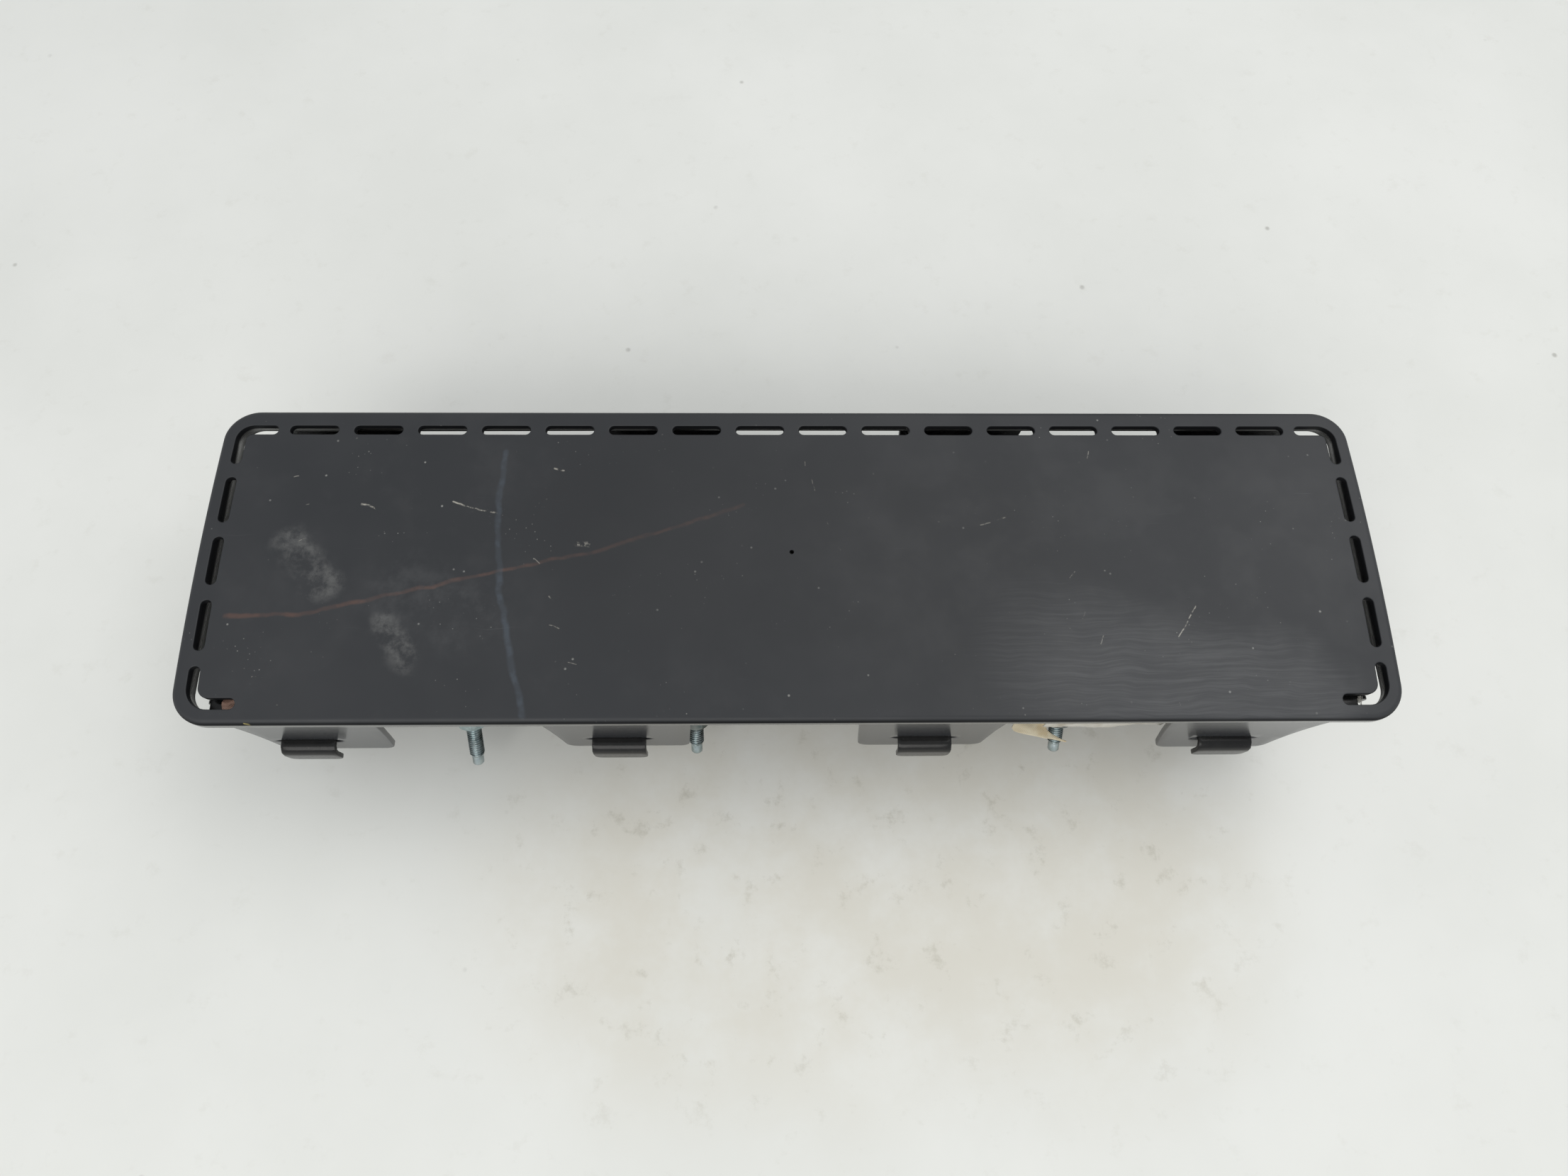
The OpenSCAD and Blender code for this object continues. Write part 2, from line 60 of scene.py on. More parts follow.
# left and right edges of each front flap at its top, and at its bottom
FRONT_FLAPS = [(-202.0, -148.3, -198.6, -155.0), (-91.9, -36.4, -88.2, -39.9),
               (23.2, 78.1, 26.1, 75.1), (135.4, 198.3, 144.3, 188.5)]
FRONT_HOOKS = [-184.0, -66.2, 51.0, 167.5]
REAR_FLAPS = [-174.0, -48.0, 68.0, 178.0]
FLAP_T, FLAP_Y, FLAP_Z, SLIT_Z, SLIT_W = 2.4, 60.3, 30.5, 43.4, 25.5
HOOK_W, HOOK_Y, HOOK_TIP = 20.6, 65.5, 33.0
CAN_HX, SHEET, CAN_F, CAN_R, CAN_TOP, BEVEL = 208.0, 1.5, -53.0, 52.0, 75.0, -18.3
GEN_Y, GEN_Z = -33.4, 41.97
STUDS = [(-128.0, 23.6, 5.0, 7), (-38.3, 18.4, 5.0, 30), (108.5, 18.4, 5.0, 30)]
INNER_C = BEVEL + SHEET * math.sqrt(2)
GEN_GAP = (GEN_Y + GEN_Z - INNER_C) * SQ


# ---- mesh helpers ---------------------------------------------------------------
class Shell:
    """Collects vertices and faces, in millimetres, and makes one object."""

    def __init__(self):
        self.v, self.f, self.n = [], [], 0

    def add(self, verts, faces):
        verts = np.asarray(verts, float).reshape(-1, 3)
        base = self.n
        self.v.append(verts)
        self.n += len(verts)
        for f in faces:
            self.f.append(tuple(int(i) + base for i in f))
        return base

    def grid(self, rows, close_u=False, close_v=False, flip=False):
        """rows is an array (a, b, 3) of points joined into quads."""
        rows = np.asarray(rows, float)
        a, b = rows.shape[:2]
        fs = []
        for i in range(a if close_u else a - 1):
            for j in range(b if close_v else b - 1):
                i2, j2 = (i + 1) % a, (j + 1) % b
                q = (i * b + j, i * b + j2, i2 * b + j2, i2 * b + j)
                fs.append(q[::-1] if flip else q)
        return self.add(rows.reshape(-1, 3), fs)

    def make(self, name, mat, body="module", sharp=38.0, weld=2e-6, recalc=True):
        v = np.concatenate(self.v) * MM
        me = bpy.data.meshes.new(name)
        me.from_pydata(v.tolist(), [], self.f)
        bm = bmesh.new()
        bm.from_mesh(me)
        bmesh.ops.remove_doubles(bm, verts=bm.verts, dist=weld)
        if recalc:
            bmesh.ops.recalc_face_normals(bm, faces=bm.faces)
        bm.to_mesh(me)
        bm.free()
        me.shade_smooth()
        me.set_sharp_from_angle(angle=math.radians(sharp))
        ob = bpy.data.objects.new(name, me)
        bpy.context.collection.objects.link(ob)
        if mat is not None:
            me.materials.append(mat)
        if body:
            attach(ob, body)
        return ob


def arc(c, r, a0, a1, n):
    t = np.radians(np.linspace(a0, a1, n + 1))
    return np.c_[c[0] + r * np.cos(t), c[1] + r * np.sin(t)]


def fill(a, b, step):
    """Points from a to b, with b left out."""
    a, b = np.asarray(a, float), np.asarray(b, float)
    n = max(1, int(round(np.linalg.norm(b - a) / step)))
    t = np.arange(n)[:, None] / n
    return a + (b - a) * t


def in_poly(p, poly):
    x, y = p[:, 0], p[:, 1]
    inside = np.zeros(len(p), bool)
    q = np.roll(poly, -1, 0)
    for (x1, y1), (x2, y2) in zip(poly, q):
        if y1 == y2:
            continue
        hit = ((y1 > y) != (y2 > y)) & (x < (x2 - x1) * (y - y1) / (y2 - y1) + x1)
        inside ^= hit
    return inside


def seg_dist(p, segs):
    """Distance from points to the nearest of many segments, and the unit vector away."""
    best = np.full(len(p), 1e9)
    near = np.zeros((len(p), 2))
    for a, b in segs:
        d = b - a
        L = float(d @ d)
        t = np.clip(((p - a) @ d) / max(L, 1e-12), 0, 1)
        c = a + t[:, None] * d
        r = np.hypot(*(p - c).T)
        m = r < best
        best[m] = r[m]
        near[m] = c[m]
    return best, near


def segs_of(path, closed=False):
    n = len(path)
    return [(path[i], path[(i + 1) % n]) for i in range(n if closed else n - 1)]


def inset(P, d):
    """Moves a loop to its left by d."""
    prev, nxt = np.roll(P, 1, 0), np.roll(P, -1, 0)
    e1, e2 = P - prev, nxt - P
    e1 /= np.linalg.norm(e1, axis=1)[:, None]
    e2 /= np.linalg.norm(e2, axis=1)[:, None]
    n1, n2 = np.c_[-e1[:, 1], e1[:, 0]], np.c_[-e2[:, 1], e2[:, 0]]
    k = np.maximum(1 + (n1 * n2).sum(1), 0.35)
    return P + d * (n1 + n2) / k[:, None]


def ccw(P, yes=True):
    x, y = P[:, 0], P[:, 1]
    area = (x * np.roll(y, -1) - np.roll(x, -1) * y).sum()
    return P if (area > 0) == yes else P[::-1].copy()


def cdt(points, edges, tiny=1e-3):
    """Constrained triangulation. Returns points, triangles and the map from input to output."""
    v, e, f, ov, oe, of_ = delaunay_2d_cdt(
        [Vector((float(a), float(b))) for a, b in points],
        [(int(a), int(b)) for a, b in edges], [], 0, 1e-6, True)
    P = np.array([[q[0], q[1]] for q in v])
    T = [tuple(t) for t in f]
    tri = []
    for t in T:
        for k in range(1, len(t) - 1):
            tri.append((t[0], t[k], t[k + 1]))
    tri = np.array(tri)
    back = np.full(len(points), -1)
    for i, src in enumerate(ov):
        for s in src:
            if s < len(points):
                back[s] = i
    a, b, c = P[tri[:, 0]], P[tri[:, 1]], P[tri[:, 2]]
    area = (b[:, 0] - a[:, 0]) * (c[:, 1] - a[:, 1]) - (c[:, 0] - a[:, 0]) * (b[:, 1] - a[:, 1])
    tri[area < 0] = tri[area < 0][:, ::-1]
    tri = tri[np.abs(area) > tiny]
    return P, tri, back


def plate(sh, outline, holes, t, rf, fn, step=4.0, lines=None, nf=3, extra=None):
    """A plate of thickness t with rounded edges, drawn flat in (u, v) and placed by fn(u, v, w)."""
    loops = [ccw(np.asarray(outline, float))] + [ccw(np.asarray(h, float), False) for h in holes]
    ang = np.radians(np.linspace(0, 90, nf + 1))
    ins, drop = rf * (1 - np.cos(ang)), rf * (1 - np.sin(ang))
    pts, edges, dr, ring0 = [], [], [], []
    for L in loops:
        for k in range(nf + 1):
            base = len(pts)
            Q = inset(L, ins[k]) if k else L
            pts += list(Q)
            dr += [drop[k]] * len(Q)
            edges += [(base + i, base + (i + 1) % len(Q)) for i in range(len(Q))]
            if k == 0:
                ring0.append((base, len(Q)))
    lo, hi = loops[0].min(0), loops[0].max(0)
    us = np.arange(lo[0] + step / 2, hi[0], step)
    vs = np.arange(lo[1] + step / 2, hi[1], step) if lines is None else np.asarray(lines, float)
    g = np.array(np.meshgrid(us, vs)).reshape(2, -1).T
    if extra is not None:
        g = np.concatenate([g, extra])
    ok = in_poly(g, loops[0])
    for h in loops[1:]:
        ok &= ~in_poly(g, h)
    g = g[ok]
    d, _ = seg_dist(g, [s for L in loops for s in segs_of(L, True)])
    g = g[d > rf + 0.35]
    pts += list(g)
    dr += [0.0] * len(g)
    P, T, back = cdt(pts, edges)
    w = np.zeros(len(P))
    for i, b in enumerate(back):
        if b >= 0:
            w[b] = max(w[b], dr[i])
    cen = P[T].mean(1)
    ok = in_poly(cen, loops[0])
    for h in loops[1:]:
        ok &= ~in_poly(cen, h)
    T = T[ok]
    n = len(P)
    top = fn(P[:, 0], P[:, 1], t / 2 - w)
    bot = fn(P[:, 0], P[:, 1], -t / 2 + w)
    faces = [tuple(q) for q in T] + [tuple(n + i for i in q[::-1]) for q in T]
    for base, cnt in ring0:
        for i in range(cnt):
            a, b = back[base + i], back[base + (i + 1) % cnt]
            faces.append((a, n + a, n + b, b))
    sh.add(np.concatenate([top, bot]), faces)


def lathe(sh, prof, place, seg=48, caps=True):
    """prof is [(r, z), ...]; place maps (x, y, z) arrays to millimetres."""
    a = np.linspace(0, 2 * np.pi, seg, endpoint=False)
    rows = []
    for r, z in prof:
        x, y = r * np.cos(a), r * np.sin(a)
        rows.append(place(x, y, np.full(seg, float(z))))
    sh.grid(np.array(rows), close_v=True)
    # caps
    for k, (r, z) in ((0, prof[0]), (-1, prof[-1])):
        if r > 1e-6 and caps:
            base = sh.add(rows[k], [])
            c = sh.add(place(np.zeros(1), np.zeros(1), np.full(1, float(z))), [])
            for i in range(seg):
                sh.f.append((base + i, base + (i + 1) % seg, c))


def box(sh, lo, hi, r=0.25):
    """A box with chamfered edges."""
    lo, hi = np.asarray(lo, float), np.asarray(hi, float)
    bm = bmesh.new()
    bmesh.ops.create_cube(bm, size=1.0)
    for v in bm.verts:
        v.co = Vector((lo + hi) / 2) + Vector([v.co[i] * (hi - lo)[i] for i in range(3)])
    bmesh.ops.bevel(bm, geom=list(bm.edges), offset=r, segments=2, profile=0.5, affect="EDGES")
    bm.verts.index_update()
    sh.add([v.co[:] for v in bm.verts], [[v.index for v in f.verts] for f in bm.faces])
    bm.free()


def smooth01(x):
    x = np.clip(x, 0, 1)
    return x * x * (3 - 2 * x)


# ---- the cover's outer surface ---------------------------------------------------
RF, SF = 2.2, 0.5


def crown(y, r=CROWN_R):
    return TOP - CROWN_R + np.sqrt(r * r - y * y)


def wave(x, y):
    """Very slight unevenness of the moulding, always below the nominal face."""
    w = (0.5 + 0.5 * np.sin(x / 31.0 + 1.1) * np.cos(y / 17.0 + 0.3)) * 0.05
    w = w + (0.5 + 0.5 * np.sin(x / 67.0 + 0.4)) * 0.05
    w = w + 0.035 * np.exp(-((y + 47.5) / 2.2) ** 2) + 0.02 * np.exp(-((y - 45) / 2.4) ** 2)
    return -w


def rim_dist(x, y):
    """Distance inside the cover's outline, and the outward direction."""
    qx, qy = np.abs(x) - (HL - CR), np.abs(y) - (HD - CR)
    ox, oy = np.maximum(qx, 0), np.maximum(qy, 0)
    l = np.hypot(ox, oy)
    sd = l + np.minimum(np.maximum(qx, qy), 0) - CR
    sx, sy = np.sign(x), np.sign(y)
    gx = np.where(l > 1e-9, ox / np.maximum(l, 1e-9), (qx > qy) * 1.0) * sx
    gy = np.where(l > 1e-9, oy / np.maximum(l, 1e-9), (qx <= qy) * 1.0) * sy
    return -sd, gx, gy


def slot_paths():
    out = []
    hs = SLOT_LEN / 2 - H
    for i in range(1, 17):
        c = (i - 8.5) * PITCH
        out.append(np.array([[c - hs, REAR_Y], [c + hs, REAR_Y]]))
    cx, cy = SIDE_X - REAR_R, REAR_Y - REAR_R
    rear = np.concatenate([[[199.0, REAR_Y]], arc((cx, cy), REAR_R, 90, 0, 10), [[SIDE_X, 40.0]]])
    fx, fy = SIDE_X - FRONT_R, HINGE_Y + FRONT_R
    front = np.concatenate([[[HINGE_HX, HINGE_Y]], arc((fx, fy), FRONT_R, 270, 360, 12), [[SIDE_X, -43.1]]])
    for s in (-1, 1):
        out.append(rear * [s, 1])
        out.append(front * [s, 1])
        for y in (22.9, -1.6, -26.1):
            out.append(np.array([[s * SIDE_X, y - hs], [s * SIDE_X, y + hs]]))
    return out


PATHS = slot_paths()
PATH_SEGS = [s for p in PATHS for s in segs_of(p)]


def top_height(x, y):
    d, gx, gy = rim_dist(x, y)
    p = np.c_[x, y]
    q, near = seg_dist(p, PATH_SEGS)
    q = q - H
    pin = np.hypot(x + 0.4, y - 1.4) - 0.8
    q = np.minimum(q, np.maximum(pin, 0) + 0.25)
    d = np.where(d < 0.003, 0.0, d)
    q = np.where(q < 0.003, 0.0, q)
    a = np.clip((RF - d) / RF, 0, 1)
    b = np.clip((SF - q) / SF, 0, 1)
    z = crown(y) + wave(x, y) * smooth01((d - 0.5) / 3) - RF * (1 - np.sqrt(1 - a * a)) - SF * (1 - np.sqrt(1 - b * b))
    # normal
    nx, ny = np.zeros_like(x), y / CROWN_R
    e = 0.2
    nx = nx - (wave(x + e, y) - wave(x - e, y)) / (2 * e)
    ny = ny - (wave(x, y + e) - wave(x, y - e)) / (2 * e)
    n = np.c_[nx, ny, np.ones_like(x)]
    n /= np.linalg.norm(n, axis=1)[:, None]
    away = near - p
    away /= np.maximum(np.linalg.norm(away, axis=1), 1e-9)[:, None]
    c = np.sqrt(1 - a * a)
    n = n * c[:, None] + np.c_[gx * a, gy * a, 0 * a]
    c = np.sqrt(1 - b * b)
    n = n * c[:, None] + np.c_[away[:, 0] * b, away[:, 1] * b, 0 * b]
    n /= np.linalg.norm(n, axis=1)[:, None]
    return z, n


def slot_outline(path, h):
    """Closed outline round a centre line, at distance h from it."""
    P = []
    for a, b in segs_of(path):
        P += list(fill(a, b, 2.6)) if np.linalg.norm(b - a) > 2.6 else [a]
    P.append(path[-1])
    P = np.array(P)
    t = np.gradient(P, axis=0)
    t[0], t[-1] = P[1] - P[0], P[-1] - P[-2]
    t /= np.linalg.norm(t, axis=1)[:, None]
    n = np.c_[-t[:, 1], t[:, 0]]
    # ends: a little squarer than a half circle
    def cap(c, tt, nn, s):
        a = np.radians(np.linspace(90, -90, 13))[1:-1]
        co, si = np.cos(a), np.sin(a)
        k = 2.6
        rr = (np.abs(co) ** k + np.abs(si) ** k) ** (-1 / k)
        rr = 1 + (rr - 1) * 0.6
        return c + s * tt * (h * rr * co)[:, None] + s * nn * (h * np.clip(rr * np.abs(si), 0, 1) * np.sign(si))[:, None]
    left, right = P + h * n, P - h * n
    return np.concatenate([left, cap(P[-1], t[-1], n[-1], 1), right[::-1], cap(P[0], t[0], n[0], -1)])


NC, NLX, NLY = 14, 130, 32


def ring(d):
    """The cover's outline moved in by d, always with the same number of points."""
    r = CR - d
    out = []
    cs = [(HL - CR, HD - CR, 0), (-(HL - CR), HD - CR, 90), (-(HL - CR), -(HD - CR), 180), (HL - CR, -(HD - CR), 270)]
    for i, (cx, cy, a0) in enumerate(cs):
        A = arc((cx, cy), r, a0, a0 + 90, NC)
        out.append(A)
        nx = cs[(i + 1) % 4]
        B = arc((nx[0], nx[1]), r, nx[2], nx[2] + 90, NC)[0]
        n = NLX if i % 2 == 0 else NLY
        t = np.arange(1, n)[:, None] / n
        out.append(A[-1] + (B - A[-1]) * t)
    return np.concatenate(out)


def build_cover():
    pts, edges = [], []

    def loop(P):
        base = len(pts)
        pts.extend(P.tolist())
        edges.extend([(base + i, base + (i + 1) % len(P)) for i in range(len(P))])
        return base, len(P)

    rings = {}
    for k, a in enumerate(np.radians([0, 12, 25, 40, 56, 73])):
        d = RF * (1 - math.cos(a))
        rings[k] = loop(ring(d))
    r20 = loop(ring(SKIRT))
    loop(ring(RF + 0.25))
    for p in PATHS:
        for q in (0.0, 0.07, 0.2, 0.36, 0.56):
            loop(slot_outline(p, H + q))
    a = np.linspace(0, 2 * np.pi, 24, endpoint=False)
    for r in (0.8, 1.05, 1.4):
        loop(np.c_[-0.4 + r * np.cos(a), 1.4 + r * np.sin(a)])

    def line(P):
        base = len(pts)
        pts.extend(np.asarray(P).tolist())
        edges.extend([(base + i, base + i + 1) for i in range(len(P) - 1)])

    hs = SLOT_LEN / 2 - H
    yy = REAR_Y - H
    xs = [-(199.0)] + [v for i in range(1, 17) for v in ((i - 8.5) * PITCH - hs, (i - 8.5) * PITCH + hs)] + [199.0]
    for i in range(0, len(xs), 2):
        line(np.linspace([xs[i], yy], [xs[i + 1], yy], 9))
    for s in (-1, 1):
        X = s * (SIDE_X - H)
        ys = [-43.1] + [v for y in (-26.1, -1.6, 22.9) for v in (y - hs, y + hs)] + [40.0]
        for i in range(0, len(ys), 2):
            line(np.linspace([X, ys[i]], [X, ys[i + 1]], 9))
    nx = 100
    for s in (-1, 1):
        line(np.linspace([-HINGE_HX, HINGE_Y + s * H], [HINGE_HX, HINGE_Y + s * H], nx))
    hx = np.linspace(-HINGE_HX, HINGE_HX, nx)
    hx = (hx[1:] + hx[:-1]) / 2
    hx = hx[np.abs(hx) < HINGE_HX - 2.6]
    for k in (-0.75, -0.5, -0.25, 0, 0.25, 0.5, 0.75):
        g = np.c_[hx + (1.0 if int(k * 4) % 2 else 0.0), np.full(len(hx), HINGE_Y + k * H)]
        pts.extend(g.tolist())
    g = np.array(np.meshgrid(np.arange(-214, 215, 4.1), np.arange(-59, 60, 4.05))).reshape(2, -1).T
    g = g + np.c_[(np.arange(len(g)) % 2) * 0.4, np.zeros(len(g))]
    d, _, _ = rim_dist(g[:, 0], g[:, 1])
    q, _ = seg_dist(g, PATH_SEGS)
    ok = (d > RF + 1.0) & (q > H + 1.1) & (np.abs(g[:, 1] - HINGE_Y) > H + 1.0) & (np.hypot(g[:, 0], g[:, 1]) > 3)
    ok &= np.abs(g[:, 1] - yy) > 0.6
    ok &= np.abs(np.abs(g[:, 0]) - (SIDE_X - H)) > 0.6
    pts.extend(g[ok].tolist())
    P, T, back = cdt(pts, edges)
    x, y = P[:, 0], P[:, 1]
    z, nrm = top_height(x, y)
    C = P[T].mean(1)
    cx, cy = C[:, 0], C[:, 1]
    inslot = np.zeros(len(T), bool)
    for p in PATHS:
        o = slot_outline(p, H)
        lo, hi = o.min(0) - 0.1, o.max(0) + 0.1
        m = (cx > lo[0]) & (cx < hi[0]) & (cy > lo[1]) & (cy < hi[1])
        if m.any():
            idx = np.where(m)[0]
            inslot[idx] |= in_poly(C[idx], o)
    inslot |= np.hypot(cx + 0.4, cy - 1.4) < 0.78
    d, _, _ = rim_dist(cx, cy)
    inslot |= d < 0
    hinge = (~inslot) & (np.abs(cy - HINGE_Y) < H) & (np.abs(cx) < HINGE_HX + 1.95)
    door = (~inslot) & ~hinge & (np.abs(cx) < SIDE_X - H) & (cy > HINGE_Y + H) & (cy < REAR_Y - H)
    rim = (~inslot) & ~hinge & ~door
    zin = crown(y, CROWN_R - PLATE)

    def solid(sh, tris, zb, bottom=None):
        bt = tris if bottom is None else bottom
        n = len(P)
        topv = np.c_[x, y, z]
        botv = np.c_[x, y, zb]
        used = np.unique(tris)
        mp = np.full(n, -1)
        mp[used] = np.arange(len(used))
        b0 = sh.add(topv[used], [tuple(mp[list(t)]) for t in tris])
        usedb = np.unique(bt)
        mb = np.full(n, -1)
        mb[usedb] = np.arange(len(usedb))
        b1 = sh.add(botv[usedb], [tuple(mb[list(t[::-1])]) for t in bt])

        def bound(tt):
            E = {}
            for t in tt:
                for i in range(3):
                    a, b = int(t[i]), int(t[(i + 1) % 3])
                    if (b, a) in E:
                        del E[(b, a)]
                    else:
                        E[(a, b)] = 1
            return set(E)

        both = bound(tris) & bound(bt)
        for a, b in both:
            sh.f.append((b0 + mp[a], b1 + mb[a], b1 + mb[b], b0 + mp[b]))

    out = {}
    sh = Shell()
    keep = rim & (d > SKIRT)
    solid(sh, T[rim], zin, T[keep])
    # skirt
    R0, R2 = ring(0.0), ring(SKIRT)
    zt, _ = top_height(R0[:, 0], R0[:, 1])
    zb = skirt_low(R0)
    rows = [np.c_[R0, zt], np.c_[R0, (zt * 0.5 + (zb + 0.7) * 0.5)], np.c_[R0, zb + 0.7]]
    for dd, dz in ((0.09, 0.35), (0.3, 0.1), (0.7, 0.0), (1.3, 0.0), (1.7, 0.1), (1.92, 0.35), (2.0, 0.7)):
        rows.append(np.c_[ring(dd), zb + dz])
    rows.append(np.c_[R2, crown(R2[:, 1], CROWN_R - PLATE)])
    sh.grid(np.array(rows), close_v=True)
    out["rim"] = sh
    # rib inside the skirt
    rb = Shell()
    o, i = RIB_IN - RIB_T, RIB_IN
    rows = []
    for dd, kind, dz in ((o, "t", 0), (o, "b", 0.35), (o + 0.3, "b", 0), (i - 0.3, "b", 0), (i, "b", 0.35), (i, "t", 0)):
        Q = ring(dd)
        Q[:, 1] -= 0.7 * np.clip(Q[:, 1] / 40, 0, 1)
        rows.append(np.c_[Q, crown(Q[:, 1], CROWN_R - PLATE) + 0.6 if kind == "t" else skirt_low(Q) + dz])
    rb.grid(np.array(rows), close_u=True, close_v=True)
    out["rib"] = rb
    dsh = Shell()
    solid(dsh, T[door], zin)
    out["door"] = dsh
    hsh = Shell()
    t_h = 1.0 + 0.9 * smooth01((np.abs(y - HINGE_Y) / H - 0.55) / 0.45)
    solid(hsh, T[hinge], z - t_h)
    out["hinge"] = hsh
    return out


def skirt_low(P):
    """Height of the skirt's lower edge: it hangs a little lower towards the left."""
    x, y = P[:, 0], P[:, 1]
    return 74.75 - 0.85 * smooth01((-x - 10) / 150) - 0.2 * smooth01((y + 20) / 60)


def top_normals(ob):
    """Exact normals on the cover's outer face, so its broad surfaces shade evenly."""
    me = ob.data
    n = len(me.vertices)
    co = np.empty(n * 3)
    me.vertices.foreach_get("co", co)
    co = co.reshape(-1, 3) / MM
    z, nrm = top_height(co[:, 0], co[:, 1])
    top = np.abs(co[:, 2] - z) < 2e-3
    cn = []
    for poly in me.polygons:
        vs = list(poly.vertices)
        if poly.normal.z > 0.02 and all(top[v] for v in vs):
            cn += [tuple(nrm[v]) for v in vs]
        else:
            cn += [(0.0, 0.0, 0.0)] * len(vs)
    me.normals_split_custom_set(cn)


# ---- materials ------------------------------------------------------------------
class Mat:
    def __init__(self, name):
        self.m = bpy.data.materials.new(name)
        self.m.use_nodes = True
        self.t = self.m.node_tree
        self.t.nodes.clear()
        self.out = self.t.nodes.new("ShaderNodeOutputMaterial")
        self.b = self.t.nodes.new("ShaderNodeBsdfPrincipled")
        self.t.links.new(self.b.outputs[0], self.out.inputs[0])
        self.co = self.t.nodes.new("ShaderNodeTexCoord").outputs["Object"]

    def node(self, kind, **kw):
        n = self.t.nodes.new(kind)
        for k, v in kw.items():
            setattr(n, k, v)
        return n

    def put(self, sock, v):
        if hasattr(v, "is_linked") or isinstance(v, bpy.types.NodeSocket):
            self.t.links.new(v, sock)
        else:
            sock.default_value = v

    def scale(self, s, vec=None):
        n = self.node("ShaderNodeMapping")
        self.put(n.inputs[0], self.co if vec is None else vec)
        n.inputs["Scale"].default_value = s
        return n.outputs[0]

    def noise(self, scale, detail=3.0, rough=0.5, vec=None, dist=0.0):
        n = self.node("ShaderNodeTexNoise")
        self.put(n.inputs["Vector"], self.co if vec is None else vec)
        n.inputs["Scale"].default_value = scale
        n.inputs["Detail"].default_value = detail
        n.inputs["Roughness"].default_value = rough
        n.inputs["Distortion"].default_value = dist
        return n.outputs["Fac"]

    def voro(self, scale, feature="F1", rand=1.0, vec=None, out="Distance"):
        n = self.node("ShaderNodeTexVoronoi", feature=feature)
        self.put(n.inputs["Vector"], self.co if vec is None else vec)
        n.inputs["Scale"].default_value = scale
        n.inputs["Randomness"].default_value = rand
        return n.outputs[out]

    def ramp(self, v, lo, hi, a=0.0, b=1.0):
        n = self.node("ShaderNodeMapRange", interpolation_type="SMOOTHSTEP")
        self.put(n.inputs[0], v)
        for i, q in enumerate((lo, hi, a, b)):
            n.inputs[i + 1].default_value = q
        return n.outputs[0]

    def math(self, op, a, b=0.0, c=0.0):
        n = self.node("ShaderNodeMath", operation=op)
        for i, q in enumerate((a, b, c)):
            if i < len(n.inputs):
                self.put(n.inputs[i], q)
        return n.outputs[0]

    def mix(self, f, a, b):
        n = self.node("ShaderNodeMix", data_type="RGBA")
        self.put(n.inputs[0], f)
        self.put(n.inputs[6], a if not isinstance(a, tuple) else (*a, 1.0))
        self.put(n.inputs[7], b if not isinstance(b, tuple) else (*b, 1.0))
        return n.outputs[2]

    def bump(self, h, dist, strength=1.0, normal=None):
        n = self.node("ShaderNodeBump")
        n.inputs["Strength"].default_value = strength
        n.inputs["Distance"].default_value = dist
        self.put(n.inputs["Height"], h)
        if normal is not None:
            self.put(n.inputs["Normal"], normal)
        return n.outputs[0]

    def xyz(self):
        n = self.node("ShaderNodeSeparateXYZ")
        self.put(n.inputs[0], self.co)
        return n.outputs

    def warp(self, amount, scale):
        """Object coordinates shifted a little by noise, so drawn marks wander."""
        n = self.node("ShaderNodeTexNoise")
        self.put(n.inputs["Vector"], self.co)
        n.inputs["Scale"].default_value = scale
        n.inputs["Detail"].default_value = 2.0
        s = self.node("ShaderNodeVectorMath", operation="SUBTRACT")
        self.put(s.inputs[0], n.outputs["Color"])
        s.inputs[1].default_value = (0.5, 0.5, 0.5)
        m = self.node("ShaderNodeVectorMath", operation="SCALE")
        self.put(m.inputs[0], s.outputs[0])
        m.inputs["Scale"].default_value = amount
        a = self.node("ShaderNodeVectorMath", operation="ADD")
        self.put(a.inputs[0], self.co)
        self.put(a.inputs[1], m.outputs[0])
        # drop z, so the marks are drawn from above
        k = self.node("ShaderNodeVectorMath", operation="MULTIPLY")
        self.put(k.inputs[0], a.outputs[0])
        k.inputs[1].default_value = (1, 1, 0)
        return k.outputs[0]

    def stroke(self, vec, pts, width, soft=0.5):
        """1 along a chain of points in millimetres, fading to 0 beyond width millimetres."""
        best = None
        for (ax, ay), (bx, by) in zip(pts, pts[1:]):
            A, B = Vector((ax, ay, 0)) * MM, Vector((bx, by, 0)) * MM
            D = B - A
            s = self.node("ShaderNodeVectorMath", operation="SUBTRACT")
            self.put(s.inputs[0], vec)
            s.inputs[1].default_value = A
            dt = self.node("ShaderNodeVectorMath", operation="DOT_PRODUCT")
            self.put(dt.inputs[0], s.outputs[0])
            dt.inputs[1].default_value = D / D.length_squared
            cl = self.node("ShaderNodeClamp")
            self.put(cl.inputs[0], dt.outputs["Value"])
            sc = self.node("ShaderNodeVectorMath", operation="SCALE")
            sc.inputs[0].default_value = D
            self.put(sc.inputs["Scale"], cl.outputs[0])
            ds = self.node("ShaderNodeVectorMath", operation="DISTANCE")
            self.put(ds.inputs[0], s.outputs[0])
            self.put(ds.inputs[1], sc.outputs[0])
            v = ds.outputs["Value"]
            best = v if best is None else self.math("MINIMUM", best, v)
        return self.ramp(best, width * MM, width * MM * (1 - soft) * 0.3, 0.0, 1.0)


